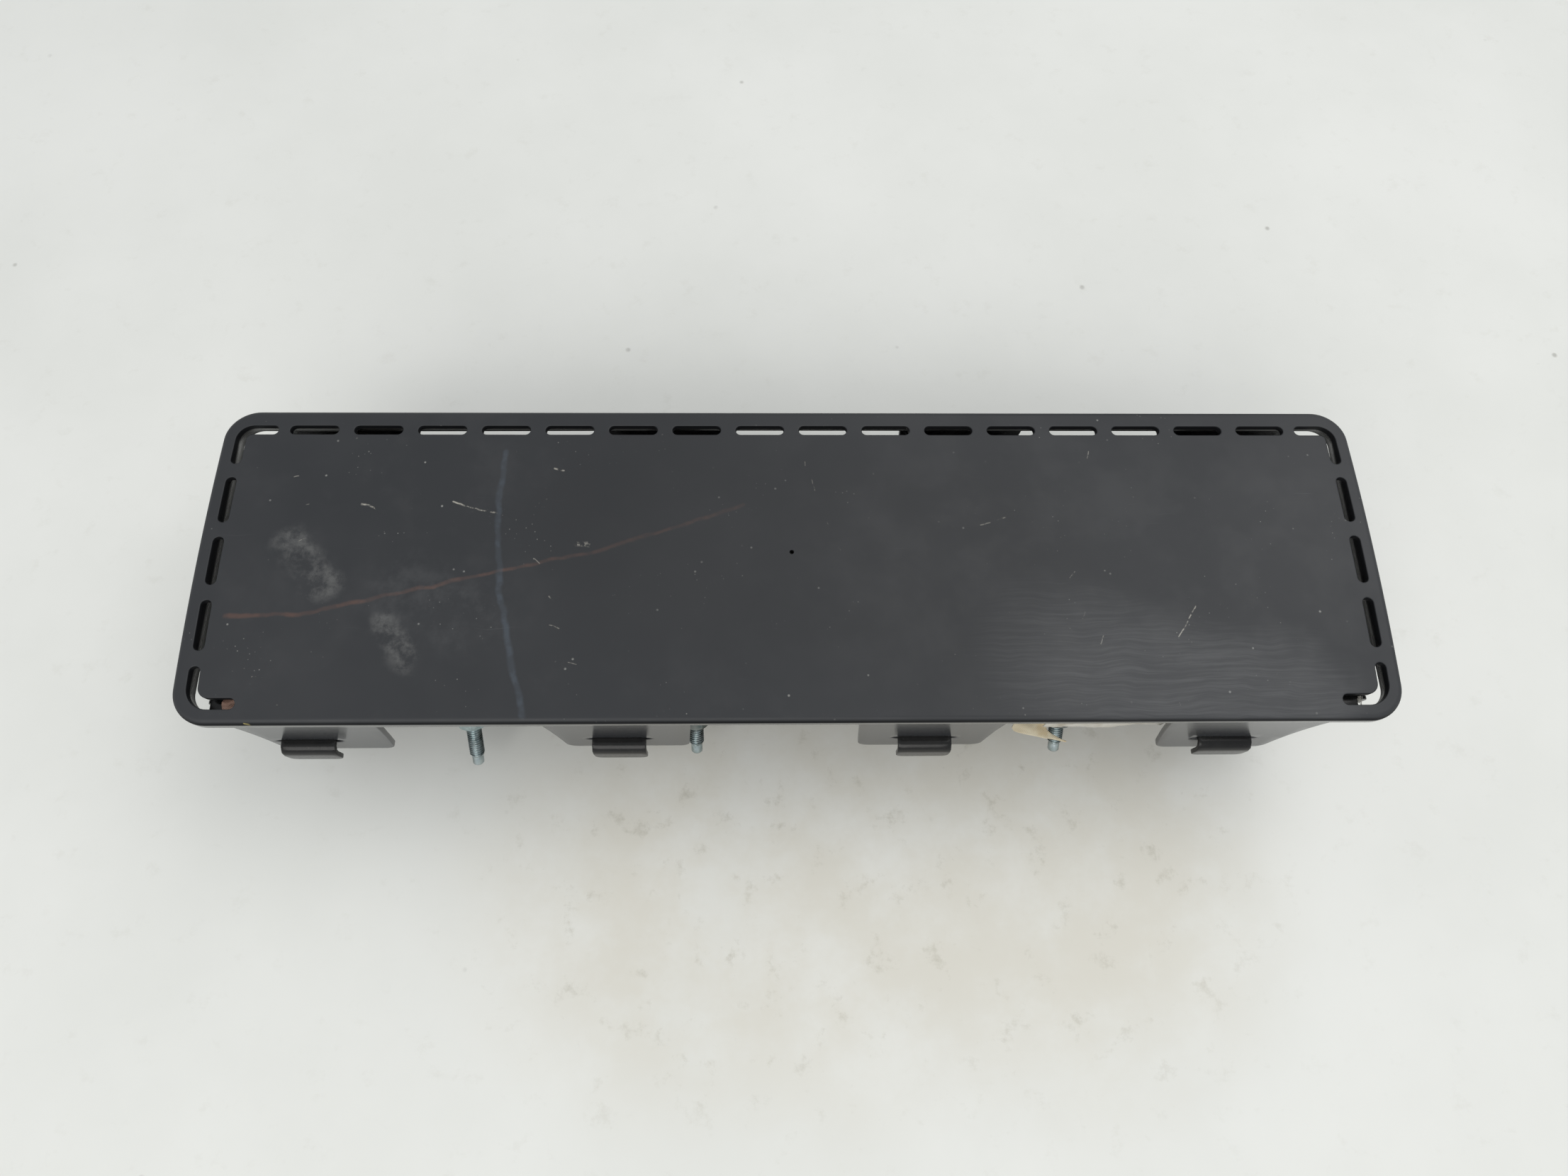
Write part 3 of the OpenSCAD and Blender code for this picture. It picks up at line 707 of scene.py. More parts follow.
def cover_material(name, marks=True):
    m = Mat(name)
    big = m.noise(9.0, 4, 0.55)
    mid = m.noise(45.0, 5, 0.6)
    fine = m.noise(700.0, 3, 0.6)
    col = m.mix(m.ramp(big, 0.35, 0.7), (0.0215, 0.0232, 0.0262), (0.0315, 0.033, 0.036))
    col = m.mix(m.math("MULTIPLY", m.ramp(mid, 0.5, 0.75), 0.35), col, (0.042, 0.043, 0.046))
    rough = m.ramp(mid, 0.3, 0.75, 0.44, 0.58)
    # dust and small specks
    sp = m.ramp(m.voro(190.0, rand=1.0), 0.11, 0.04)
    gate = m.ramp(m.noise(60.0, 3, 0.6), 0.55, 0.64)
    sp = m.math("MULTIPLY", sp, gate)
    sp2 = m.math("MULTIPLY", m.ramp(m.voro(430.0, rand=1.0), 0.13, 0.05), m.ramp(m.noise(38.0, 4, 0.65), 0.54, 0.66))
    sp = m.math("MAXIMUM", sp, m.math("MULTIPLY", sp2, 0.8))
    col = m.mix(m.math("MULTIPLY", sp, 0.6), col, (0.34, 0.34, 0.32))
    # fine handling scratches in two directions
    w = m.warp(0.004, 60)
    for ang, sc, amt in ((0.3, 1.0, 0.10), (1.25, 1.3, 0.08), (2.1, 0.8, 0.06)):
        r = m.node("ShaderNodeMapping")
        m.put(r.inputs[0], w)
        r.inputs["Rotation"].default_value = (0, 0, ang)
        r.inputs["Scale"].default_value = (30 * sc, 2600 * sc, 1)
        n = m.noise(1.0, 2, 0.4, vec=r.outputs[0])
        g = m.math("MULTIPLY", m.ramp(n, 0.74, 0.80), m.ramp(m.noise(25.0 * sc, 2, 0.5), 0.52, 0.66))
        col = m.mix(m.math("MULTIPLY", g, amt * 3), col, (0.16, 0.165, 0.17))
    h = m.math("MULTIPLY", fine, 0.6)
    h = m.math("ADD", h, m.math("MULTIPLY", m.noise(2600.0, 2, 0.5), 0.4))
    if marks:
        plain, plain_h = col, h
        w1 = m.warp(0.003, 120)
        brk = m.ramp(m.noise(160.0, 3, 0.6), 0.42, 0.62)
        red = m.stroke(w1, [(-203.4, -22.8), (-177.3, -22.6), (-108.1, -6.1), (-72.6, 1.6), (-18.3, 20.3)], 1.15, 0.35)
        red = m.math("MULTIPLY", red, m.math("ADD", 0.45, m.math("MULTIPLY", brk, 0.55)))
        col = m.mix(m.math("MULTIPLY", red, 0.62), col, (0.105, 0.058, 0.045))
        blue = m.stroke(w1, [(-109.0, 42.9), (-109.8, 25.9), (-108.6, 4.5), (-106.2, -13.5), (-102.6, -30.5), (-95.2, -58.6)], 1.7, 0.25)
        blue = m.math("MULTIPLY", blue, m.math("ADD", 0.5, m.math("MULTIPLY", brk, 0.5)))
        col = m.mix(m.math("MULTIPLY", blue, 0.55), col, (0.062, 0.078, 0.098))
        w2 = m.warp(0.008, 90)
        sc = m.stroke(w2, [(-79.5, 5.4), (-75.0, 4.6)], 1.5)
        cr = m.stroke(w1, [(-126.4, 21.2), (-118, 19.5), (-110.2, 16.8)], 0.45)
        cr = m.math("MAXIMUM", cr, m.stroke(w1, [(-89.5, 35.6), (-86.5, 35.0)], 0.6))
        cr = m.math("MAXIMUM", cr, m.stroke(w1, [(-160.3, 20.9), (-157.5, 20.6), (-155.0, 18.9)], 0.5))
        cr = m.math("MAXIMUM", cr, m.stroke(w1, [(70.0, 12.0), (81.0, 15.5)], 0.35))
        cr = m.math("MAXIMUM", cr, m.stroke(w1, [(139.0, -31.0), (147.0, -20.0)], 0.35))
        for k in range(16):
            # short hairs and nicks, set out by a fixed rule
            hx = -190.0 + (k * 97.3) % 385.0
            hy = -45.0 + (k * 41.9) % 90.0
            ha = k * 2.4
            ln = 1.6 + (k * 1.7) % 3.4
            cr = m.math("MAXIMUM", cr, m.math("MULTIPLY", m.stroke(w1, [(hx, hy), (hx + ln * math.cos(ha), hy + ln * math.sin(ha))], 0.28), 0.6))
        cr = m.math("MULTIPLY", cr, m.ramp(m.noise(420.0, 3, 0.6), 0.4, 0.6))
        cr = m.math("MAXIMUM", cr, m.math("MULTIPLY", sc, m.ramp(m.noise(700.0, 3, 0.6), 0.45, 0.6)))
        col = m.mix(m.math("MULTIPLY", cr, 0.75), col, (0.42, 0.40, 0.35))
        du = m.stroke(w2, [(-184.0, 6.0), (-170.0, -11.0)], 9.0, 0.0)
        du2 = m.stroke(w2, [(-146.8, -25.9), (-137.9, -38.9)], 7.0, 0.0)
        du = m.math("MULTIPLY", m.math("MAXIMUM", du, du2), m.ramp(m.noise(110.0, 6, 0.72), 0.40, 0.66))
        col = m.mix(m.math("MULTIPLY", du, 0.42), col, (0.17, 0.17, 0.165))
        # painted sheen: a lighter, streaky patch at the front right of the top stands in for the broad reflection of
        # the light there
        stain_and_sheen_mask = m.stroke(w2, [(92.0, -34.0), (130.0, -50.0), (176.0, -56.0)], 34.0, 0.0)
        sr = m.node("ShaderNodeMapping")
        m.put(sr.inputs[0], m.warp(0.006, 45))
        sr.inputs["Rotation"].default_value = (0, 0, 0.28)
        sr.inputs["Scale"].default_value = (34, 900, 1)
        painted_sheen_streaks = m.ramp(m.noise(1.0, 4, 0.65, vec=sr.outputs[0]), 0.38, 0.72)
        col = m.mix(m.math("MULTIPLY", m.math("MULTIPLY", stain_and_sheen_mask, painted_sheen_streaks), 0.24), col, (0.15, 0.153, 0.156))
        col = m.mix(m.math("MULTIPLY", stain_and_sheen_mask, 0.22), col, (0.11, 0.112, 0.117))
        sm1 = m.stroke(w2, [(-140.0, -12.0), (-118.0, -24.0)], 20.0, 0.0)
        sm1 = m.math("MULTIPLY", sm1, m.ramp(m.noise(55.0, 5, 0.7), 0.40, 0.66))
        col = m.mix(m.math("MULTIPLY", sm1, 0.14), col, (0.14, 0.142, 0.145))
        yf = m.stroke(w1, [(-190.9, -61.0), (-189.6, -61.4)], 0.45)
        yf = m.math("MULTIPLY", yf, m.ramp(m.xyz()[2], 0.0770, 0.0775))
        col = m.mix(yf, col, (0.62, 0.52, 0.22))
        # painted shade: the middle of the top is darkened to hold down the sheen that shows there
        painted_shade_centre = m.stroke(w2, [(-45.0, 12.0), (60.0, -4.0)], 75.0, 0.0)
        col = m.mix(m.math("MULTIPLY", painted_shade_centre, 0.55), col, (0.0155, 0.0165, 0.0185))
        h = m.math("ADD", h, m.math("MULTIPLY", m.math("MAXIMUM", cr, red), 0.8))
    # upright faces were polished by the mould, so they take up more of the table's light
    nrm = m.node("ShaderNodeSeparateXYZ")
    m.put(nrm.inputs[0], m.node("ShaderNodeTexCoord").outputs["Normal"])
    if marks:
        # the wear, the painted sheen and the painted shade are on the outer face only
        outer = m.ramp(nrm.outputs[2], 0.05, 0.25)
        col = m.mix(outer, plain, col)
        h = m.math("ADD", m.math("MULTIPLY", h, outer), m.math("MULTIPLY", plain_h, m.math("SUBTRACT", 1.0, outer)))
    up = m.ramp(m.math("ABSOLUTE", nrm.outputs[2]), 0.10, 0.45)
    low = m.ramp(m.xyz()[2], 0.0785, 0.0770)
    wall = m.math("MULTIPLY", m.math("SUBTRACT", 1.0, up), low)
    rough = m.math("ADD", m.math("MULTIPLY", rough, m.math("SUBTRACT", 1.0, wall)), m.math("MULTIPLY", wall, 0.20))
    m.put(m.b.inputs["Roughness"], rough)
    # painted shade: where the top face rounds over its edge, the colour is made near black and the specular is cut, for
    # the dark band seen along the rounded edge
    turn = m.math("MULTIPLY", m.ramp(m.math("ABSOLUTE", nrm.outputs[2]), 0.93, 0.45), m.math("SUBTRACT", 1.0, low))
    col = m.mix(m.math("MULTIPLY", turn, 0.75), col, (0.004, 0.004, 0.0045))
    # painted highlight: the lowest strip of the skirt wall is made light grey, for the table's light reflected in it
    edge = m.math("MULTIPLY", wall, m.ramp(m.xyz()[2], 0.0738, 0.0744))
    col = m.mix(m.math("MULTIPLY", edge, 0.75), col, (0.125, 0.124, 0.118))
    spec = m.math("ADD", 0.36, m.math("MULTIPLY", wall, 0.5))
    m.put(m.b.inputs["Specular IOR Level"], m.math("MULTIPLY", spec, m.math("SUBTRACT", 1.0, m.math("MULTIPLY", turn, 0.85))))
    m.put(m.b.inputs["Base Color"], col)
    m.put(m.b.inputs["Normal"], m.bump(h, 0.00004, 0.4))
    return m.m


def paint_material(name="black_dip_coat"):
    m = Mat(name)
    n1 = m.noise(60.0, 4, 0.6)
    n2 = m.noise(900.0, 4, 0.65)
    col = m.mix(m.ramp(n1, 0.3, 0.7), (0.006, 0.006, 0.0062), (0.012, 0.0117, 0.0112))
    pit = m.ramp(m.voro(520.0), 0.22, 0.05)
    pit = m.math("MULTIPLY", pit, m.ramp(m.noise(130.0, 3, 0.5), 0.5, 0.62))
    col = m.mix(m.math("MULTIPLY", pit, 0.3), col, (0.06, 0.05, 0.042))
    rust = m.math("MULTIPLY", m.ramp(m.noise(38.0, 6, 0.7), 0.64, 0.74), m.ramp(m.noise(300.0, 3, 0.6), 0.45, 0.65))
    col = m.mix(m.math("MULTIPLY", rust, 0.35), col, (0.07, 0.045, 0.03))
    m.put(m.b.inputs["Base Color"], col)
    m.put(m.b.inputs["Roughness"], m.ramp(n2, 0.3, 0.75, 0.17, 0.28))
    m.b.inputs["Specular IOR Level"].default_value = 0.30
    h = m.math("SUBTRACT", m.math("MULTIPLY", n2, 0.5), pit)
    m.put(m.b.inputs["Normal"], m.bump(h, 0.00003, 0.3))
    return m.m


def metal_material(name, a, b, rough, scale=200.0, dirt=None, brushed=None, amount=0.5, left=None):
    m = Mat(name)
    n1 = m.noise(scale, 4, 0.6)
    col = m.mix(m.ramp(n1, 0.3, 0.7), a, b)
    if dirt:
        d = m.math("MULTIPLY", m.ramp(m.noise(scale * 0.6, 5, 0.7), 0.5, 0.68), amount)
        col = m.mix(d, col, dirt)
    if left:
        # the piece furthest to the left kept its plating
        keep = m.ramp(m.xyz()[0], -0.09, -0.10)
        col = m.mix(keep, col, m.mix(m.ramp(n1, 0.3, 0.7), *left))
    m.put(m.b.inputs["Base Color"], col)
    m.b.inputs["Metallic"].default_value = 1.0
    m.put(m.b.inputs["Roughness"], m.ramp(n1, 0.3, 0.75, rough[0], rough[1]))
    h = m.noise(scale * 6, 3, 0.6)
    if brushed:
        h = m.noise(1.0, 3, 0.6, vec=m.scale(brushed))
    m.put(m.b.inputs["Normal"], m.bump(h, 0.00004, 0.5))
    return m.m


def cloth_material(name, a, b, pitch=0.45, rough=0.85, sheen=0.2, stain=None, fuzz=1.0):
    """Plain weave drawn in object coordinates, one way along x and the other along y plus z."""
    m = Mat(name)
    w = m.node("ShaderNodeVectorMath", operation="ADD")
    nz = m.node("ShaderNodeTexNoise")
    m.put(nz.inputs["Vector"], m.co)
    nz.inputs["Scale"].default_value = 90.0
    sc = m.node("ShaderNodeVectorMath", operation="SCALE")
    m.put(sc.inputs[0], nz.outputs["Color"])
    sc.inputs["Scale"].default_value = 0.0012
    m.put(w.inputs[0], m.co)
    m.put(w.inputs[1], sc.outputs[0])
    s = m.node("ShaderNodeSeparateXYZ")
    m.put(s.inputs[0], w.outputs[0])
    k = 2 * math.pi / (pitch * MM * 2)
    sx = m.math("SINE", m.math("MULTIPLY", s.outputs[0], k))
    yz = m.math("ADD", s.outputs[1], m.math("MULTIPLY", s.outputs[2], 1.0))
    sy = m.math("SINE", m.math("MULTIPLY", yz, k))
    weave = m.math("ADD", m.math("MULTIPLY", m.math("MULTIPLY", sx, sy), 0.5), 0.5)
    fz = m.noise(1500.0, 4, 0.7)
    col = m.mix(m.ramp(m.noise(40.0, 4, 0.6), 0.35, 0.65), a, b)
    col = m.mix(m.math("MULTIPLY", m.ramp(weave, 0.1, 0.6, 1.0, 0.0), 0.35), col, tuple(v * 0.55 for v in a))
    if stain:
        stain_and_sheen_mask = m.math("MULTIPLY", m.ramp(m.noise(70.0, 5, 0.65), 0.5, 0.68), 0.8)
        col = m.mix(stain_and_sheen_mask, col, stain)
    m.put(m.b.inputs["Base Color"], col)
    m.b.inputs["Roughness"].default_value = rough
    m.b.inputs["Sheen Weight"].default_value = sheen
    h = m.math("ADD", weave, m.math("MULTIPLY", fz, 0.6 * fuzz))
    m.put(m.b.inputs["Normal"], m.bump(h, 0.00012, 0.7))
    return m.m


def plain_material(name, a, b, rough, scale=120.0, spec=0.5):
    m = Mat(name)
    n1 = m.noise(scale, 4, 0.6)
    m.put(m.b.inputs["Base Color"], m.mix(m.ramp(n1, 0.3, 0.7), a, b))
    m.put(m.b.inputs["Roughness"], m.ramp(n1, 0.3, 0.7, rough * 0.85, min(1.0, rough * 1.15)))
    m.b.inputs["Specular IOR Level"].default_value = spec
    m.put(m.b.inputs["Normal"], m.bump(m.noise(scale * 8, 3, 0.6), 0.00005, 0.5))
    return m.m


M_COVER = cover_material("charcoal_cover")
M_PLAIN = cover_material("charcoal_underside", marks=False)
M_PAINT = paint_material()
M_ZINC = metal_material("blue_zinc", (0.30, 0.36, 0.37), (0.46, 0.52, 0.53), (0.22, 0.42), 260.0, (0.10, 0.085, 0.07), amount=0.55)
M_NUT = metal_material("aged_zinc_nut", (0.10, 0.125, 0.12), (0.19, 0.20, 0.185), (0.24, 0.46), 200.0, (0.075, 0.05, 0.032), amount=0.8,
                       left=((0.24, 0.30, 0.30), (0.42, 0.49, 0.49)))
M_TUBE = metal_material("drawn_tube", (0.36, 0.37, 0.38), (0.50, 0.50, 0.50), (0.24, 0.36), 90.0, (0.2, 0.19, 0.17), (60, 2400, 2400), 0.3)
M_BAND = metal_material("pressed_steel", (0.30, 0.31, 0.32), (0.42, 0.43, 0.43), (0.3, 0.5), 150.0, (0.16, 0.15, 0.13))
M_PIN = metal_material("contact_plating", (0.70, 0.52, 0.22), (0.82, 0.64, 0.30), (0.18, 0.3), 300.0)
M_WIRE = metal_material("knitted_wire", (0.30, 0.30, 0.29), (0.42, 0.42, 0.40), (0.35, 0.55), 900.0, (0.12, 0.12, 0.11))
M_CLIP = plain_material("yellow_clip", (0.72, 0.50, 0.03), (0.80, 0.58, 0.05), 0.32)
M_GEN = plain_material("pressed_tablets", (0.50, 0.48, 0.43), (0.60, 0.58, 0.53), 0.8)
M_WRAP = cloth_material("offwhite_wrap", (0.50, 0.48, 0.42), (0.62, 0.60, 0.55), 0.5, 0.85, 0.1, (0.33, 0.29, 0.22))
M_TAB = cloth_material("cream_tab", (0.62, 0.53, 0.36), (0.70, 0.63, 0.47), 0.42, 0.8, 0.1, (0.52, 0.41, 0.24))
M_CUSHION = cloth_material("coated_weave", (0.30, 0.14, 0.10), (0.38, 0.24, 0.18), 0.5, 0.6, 0.15, (0.46, 0.38, 0.30))


# ---- cover ----------------------------------------------------------------------
parts = build_cover()
rim = parts["rim"]


def flap_outline(tl, tr, bl_, br_, z0, z1, r):
    """Tapering flap with rounded lower corners, as a counterclockwise loop."""
    bl = arc((bl_ + r, z0 + r), r, 190, 270, 8)
    br = arc((br_ - r, z0 + r), r, 270, 350, 8)
    P = list(fill((tr, z1), (tl, z1), 3.0)) + list(fill((tl, z1), bl[0], 3.0)) + list(bl[:-1]) + \
        list(fill(bl[-1], br[0], 3.0)) + list(br[:-1]) + list(fill(br[-1], (tr, z1), 3.0))
    return np.array([[float(a), float(b)] for a, b in P])


def slit_outline(cx, cz, w, h):
    """A slit with pointed ends."""
    u = np.linspace(-1, 1, 21)
    prof = h / 2 * np.minimum(1, (1 - np.abs(u)) * w / 2 / 3.2) ** 0.8
    up = np.c_[cx + u * w / 2, cz + prof]
    dn = np.c_[cx + u[::-1] * w / 2, cz - prof[::-1]]
    return np.concatenate([up[:-1], dn[:-1]])


def add_flap(sh, edges, slit_x, sign, flare=0.0, low=FLAP_Z):
    o = flap_outline(*edges, low, 78.3, 4.5)
    s = slit_outline(slit_x, SLIT_Z, SLIT_W, 3.0)

    def fn(u, v, w):
        k = np.clip((74 - v) / 43.5, 0, 1)
        y = FLAP_Y - FLAP_T / 2 + w + flare * k * k - 0.35 * np.sin(k * math.pi)
        return np.c_[u, sign * y, v]

    plate(sh, o, [s], FLAP_T, 0.4, fn, step=4.0)


for i in range(4):
    add_flap(rim, FRONT_FLAPS[i], FRONT_HOOKS[i], -1, flare=(0.6, 0.1, 0.2, 1.6)[i])
    x = REAR_FLAPS[i]
    add_flap(rim, (x - 25, x + 25, x - 22, x + 22), x, 1, flare=0.2)
cover = rim.make("cover_rim", M_COVER, sharp=42)
top_normals(cover)
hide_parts("cover_frame")
rib = parts["rib"].make("cover_inner_rib", M_PLAIN, sharp=42)

door_sh = parts["door"]
for y in (-27, 27):
    box(door_sh, (-190, y - 0.6, 77.0), (190, y + 0.6, crown(np.array([28.0]))[0] - 2.3), 0.3)
for i in range(10):
    x = (i - 4.5) * 40
    box(door_sh, (x - 0.6, -46, 77.0), (x + 0.6, 46, 78.7), 0.3)
door = door_sh.make("door_leaf", M_COVER, body="door", sharp=42)
top_normals(door)
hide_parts("door_panel")
hinge = parts["hinge"].make("living_hinge_strip", M_COVER, body=None, sharp=50)
top_normals(hinge)
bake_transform(hinge)
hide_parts("living_hinge")


# ---- can ------------------------------------------------------------------------
def bend_path(corners, r, n=7):
    """Points, directions and lengths along a bent line with rounded corners."""
    C = [np.array(c, float) for c in corners]
    pts = [C[0]]
    for a, b, c in zip(C, C[1:], C[2:]):
        u, v = (a - b) / np.linalg.norm(a - b), (c - b) / np.linalg.norm(c - b)
        half = math.acos(float(u @ v)) / 2
        L = r / math.tan(half)
        o = b + (u + v) / np.linalg.norm(u + v) * (r / math.sin(half))
        p, q = b + u * L, b + v * L
        a0 = math.atan2(*(p - o)[::-1])
        a1 = math.atan2(*(q - o)[::-1])
        while a1 - a0 > math.pi:
            a1 -= 2 * math.pi
        while a1 - a0 < -math.pi:
            a1 += 2 * math.pi
        for t in np.linspace(a0, a1, n + 1):
            pts.append(o + r * np.array([math.cos(t), math.sin(t)]))
    pts.append(C[-1])
    P = np.array(pts)
    s = np.r_[0, np.cumsum(np.linalg.norm(np.diff(P, axis=0), axis=1))]
    t = np.gradient(P, axis=0)
    seg = np.diff(P, axis=0)
    seg /= np.linalg.norm(seg, axis=1)[:, None]
    N = np.zeros_like(P)
    L = np.linalg.norm(np.diff(P, axis=0), axis=1)
    for i in range(len(P)):
        if i == 0:
            d = seg[0]
        elif i == len(P) - 1:
            d = seg[-1]
        else:
            # straight runs keep their own direction at their ends
            la, lb = L[i - 1], L[i]
            d = seg[i - 1] if la > 4 * lb else seg[i] if lb > 4 * la else seg[i - 1] + seg[i]
            d = d / np.linalg.norm(d)
        N[i] = (d[1], -d[0])
    return P, N, s


CP, CN, CS = bend_path([(CAN_F, CAN_TOP), (CAN_F, BEVEL - CAN_F), (BEVEL, 0), (CAN_R, 0), (CAN_R, CAN_TOP)], 4.0)
# the outward side of the can, seen from its middle
if CN[0][0] > 0:
    CN = -CN


def s_at(y, z):
    ss = np.linspace(0, CS[-1], 4000)
    yy, zz = np.interp(ss, CS, CP[:, 0]), np.interp(ss, CS, CP[:, 1])
    return ss[np.argmin(np.hypot(yy - y, zz - z))]


def bead(x, s, x0, x1, sc, half, depth):
    d = np.hypot(np.maximum(np.maximum(x0 - x, x - x1), 0), s - sc)
    return depth * (0.5 + 0.5 * np.cos(np.pi * np.clip(d / half, 0, 1)))


S_B0, S_D = s_at(BEVEL + 2, 0), s_at(CAN_R - 5, 0)


def can_fn(x, s, w):
    y, z = np.interp(s, CS, CP[:, 0]), np.interp(s, CS, CP[:, 1])
    ny, nz = np.interp(s, CS, CN[:, 0]), np.interp(s, CS, CN[:, 1])
    l = np.hypot(ny, nz)
    ny, nz = ny / l, nz / l
    off = w - SHEET / 2
    sb = s_at(0, 0)
    for (a, b, sc) in ((-180, -20, sb), (20, 180, sb), (-180, -20, sb + 28), (20, 180, sb + 28)):
        off = off - bead(x, s, a, b, sc, 5.5, 1.1)
    sf = s_at(CAN_F, 64)
    for (a, b) in ((-150, -100), (-32, 20), (88, 140)):
        off = off - bead(x, s, a, b, sf, 4.5, 0.8)
    return np.c_[x, y + ny * off, z + nz * off]


can = Shell()
L = CS[-1]
rc = 2.5
o = []
for c, a0, nx in (((CAN_HX - rc, rc), 270, (CAN_HX, L - rc)), ((CAN_HX - rc, L - rc), 0, (-CAN_HX + rc, L)),
                  ((-CAN_HX + rc, L - rc), 90, (-CAN_HX, rc)), ((-CAN_HX + rc, rc), 180, (CAN_HX - rc, 0))):
    A = arc(c, rc, a0, a0 + 90, 5)
    o += list(A[:-1]) + list(fill(A[-1], nx, 4.0))
holes = []
for (x, ln, nh, rot) in STUDS:
    holes.append(arc((x, s_at(-46.84, 28.54)), 3.3, 0, 360, 24)[:-1])
for x in FRONT_HOOKS:
    a, b = s_at(CAN_F, 62.6), s_at(CAN_F, 44.5)
    holes.append(np.array([[x - 10.8, a], [x - 10.8, b], [x + 10.8, b], [x + 10.8, a]]))
for x in REAR_FLAPS:
    a, b = s_at(CAN_R, 44.5), s_at(CAN_R, 62.6)
    holes.append(np.array([[x - 10.8, a], [x - 10.8, b], [x + 10.8, b], [x + 10.8, a]]))
lines = []
for a, b in zip(CS, CS[1:]):
    n = max(1, int(math.ceil((b - a) / 3.4)))
    lines += list(a + (b - a) * np.arange(n) / n)
plate(can, np.array(o), holes, SHEET, 0.3, can_fn, step=5.0, lines=np.array(lines)[1:], nf=2)


def add_hook(sh, x0, wall, sign):
    r = 4.0 - 0.9
    c = HOOK_Y - 4.0
    P, N, S = bend_path([(-wall + SHEET * 0.6, 43.6), (-c - r, 43.6), (-c - r, HOOK_TIP)], r, 8)
    if N[0][1] < 0:
        N = -N
    Ltot = S[-1]
    q = 3.0
    out = list(fill((-HOOK_W / 2, 0), (HOOK_W / 2, 0), 2.6)) + list(fill((HOOK_W / 2, 0), (HOOK_W / 2, Ltot - q), 2.0)) + \
        list(arc((HOOK_W / 2 - q, Ltot - q), q, 0, 90, 6)) + list(arc((-HOOK_W / 2 + q, Ltot - q), q, 90, 180, 6)) + \
        list(fill((-HOOK_W / 2, Ltot - q), (-HOOK_W / 2, 0), 2.0))[1:]

    def fn(u, s, w):
        y, z = np.interp(s, S, P[:, 0]), np.interp(s, S, P[:, 1])
        ny, nz = np.interp(s, S, N[:, 0]), np.interp(s, S, N[:, 1])
        l = np.hypot(ny, nz)
        return np.c_[x0 + u, -sign * (y + ny / l * w) * -1 if sign > 0 else -(y + ny / l * w) * -1, z + nz / l * w] if False else \
            np.c_[x0 + u, (y + ny / l * w) * (1 if sign < 0 else -1), z + nz / l * w]

    li = []
    for a, b in zip(S, S[1:]):
        n = max(1, int(math.ceil((b - a) / 1.6)))
        li += list(a + (b - a) * np.arange(n) / n)
    plate(sh, np.array(out), [], 1.8, 0.35, fn, step=2.5, lines=np.array(li)[1:])


for x in FRONT_HOOKS:
    add_hook(can, x, 53.0, -1)
for x in REAR_FLAPS:
    add_hook(can, x, 52.0, 1)
box(can, (-206.3, -56.2, 74.3), (-190.0, -51.3, 75.2), 0.3)
box(can, (190.0, -56.2, 74.3), (203.4, -51.3, 75.2), 0.3)
can_ob = can.make("can_shell", M_PAINT, sharp=38)
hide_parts("can_housing")


# ---- end caps -------------------------------------------------------------------
def cap_ring(d, r0=3.0):
    """The inside of the can, seen along X, moved in by d, open at the top corners."""
    C = [(CAN_F + SHEET, CAN_TOP - 1), (CAN_F + SHEET, INNER_C - CAN_F - SHEET), (INNER_C - SHEET, SHEET),
         (CAN_R - SHEET, SHEET), (CAN_R - SHEET, CAN_TOP - 1)]
    C = np.array(C, float)
    base = ccw(C)
    Q = []
    n = len(base)
    r = r0
    for i in range(n):
        a, b, c = base[i - 1], base[i], base[(i + 1) % n]
        u, v = (a - b) / np.linalg.norm(a - b), (c - b) / np.linalg.norm(c - b)
        half = math.acos(float(u @ v)) / 2
        Lc = r / math.tan(half)
        ctr = b + (u + v) / np.linalg.norm(u + v) * (r / math.sin(half))
        p, q = b + u * Lc, b + v * Lc
        a0, a1 = math.atan2(*(p - ctr)[::-1]), math.atan2(*(q - ctr)[::-1])
        while a1 < a0:
            a1 += 2 * math.pi
        for t in np.linspace(a0, a1, 7):
            Q.append(ctr + r * np.array([math.cos(t), math.sin(t)]))
        nb = base[(i + 1) % n]
        nc = base[(i + 2) % n]
        u2, v2 = (b - nb) / np.linalg.norm(b - nb), (nc - nb) / np.linalg.norm(nc - nb)
        half2 = math.acos(float(u2 @ v2)) / 2
        p2 = nb + u2 * (r / math.tan(half2))
        Q += list(fill(Q[-1], p2, 4.0))[1:]
    Q = np.array(Q)
    return inset(Q, d) if d else Q


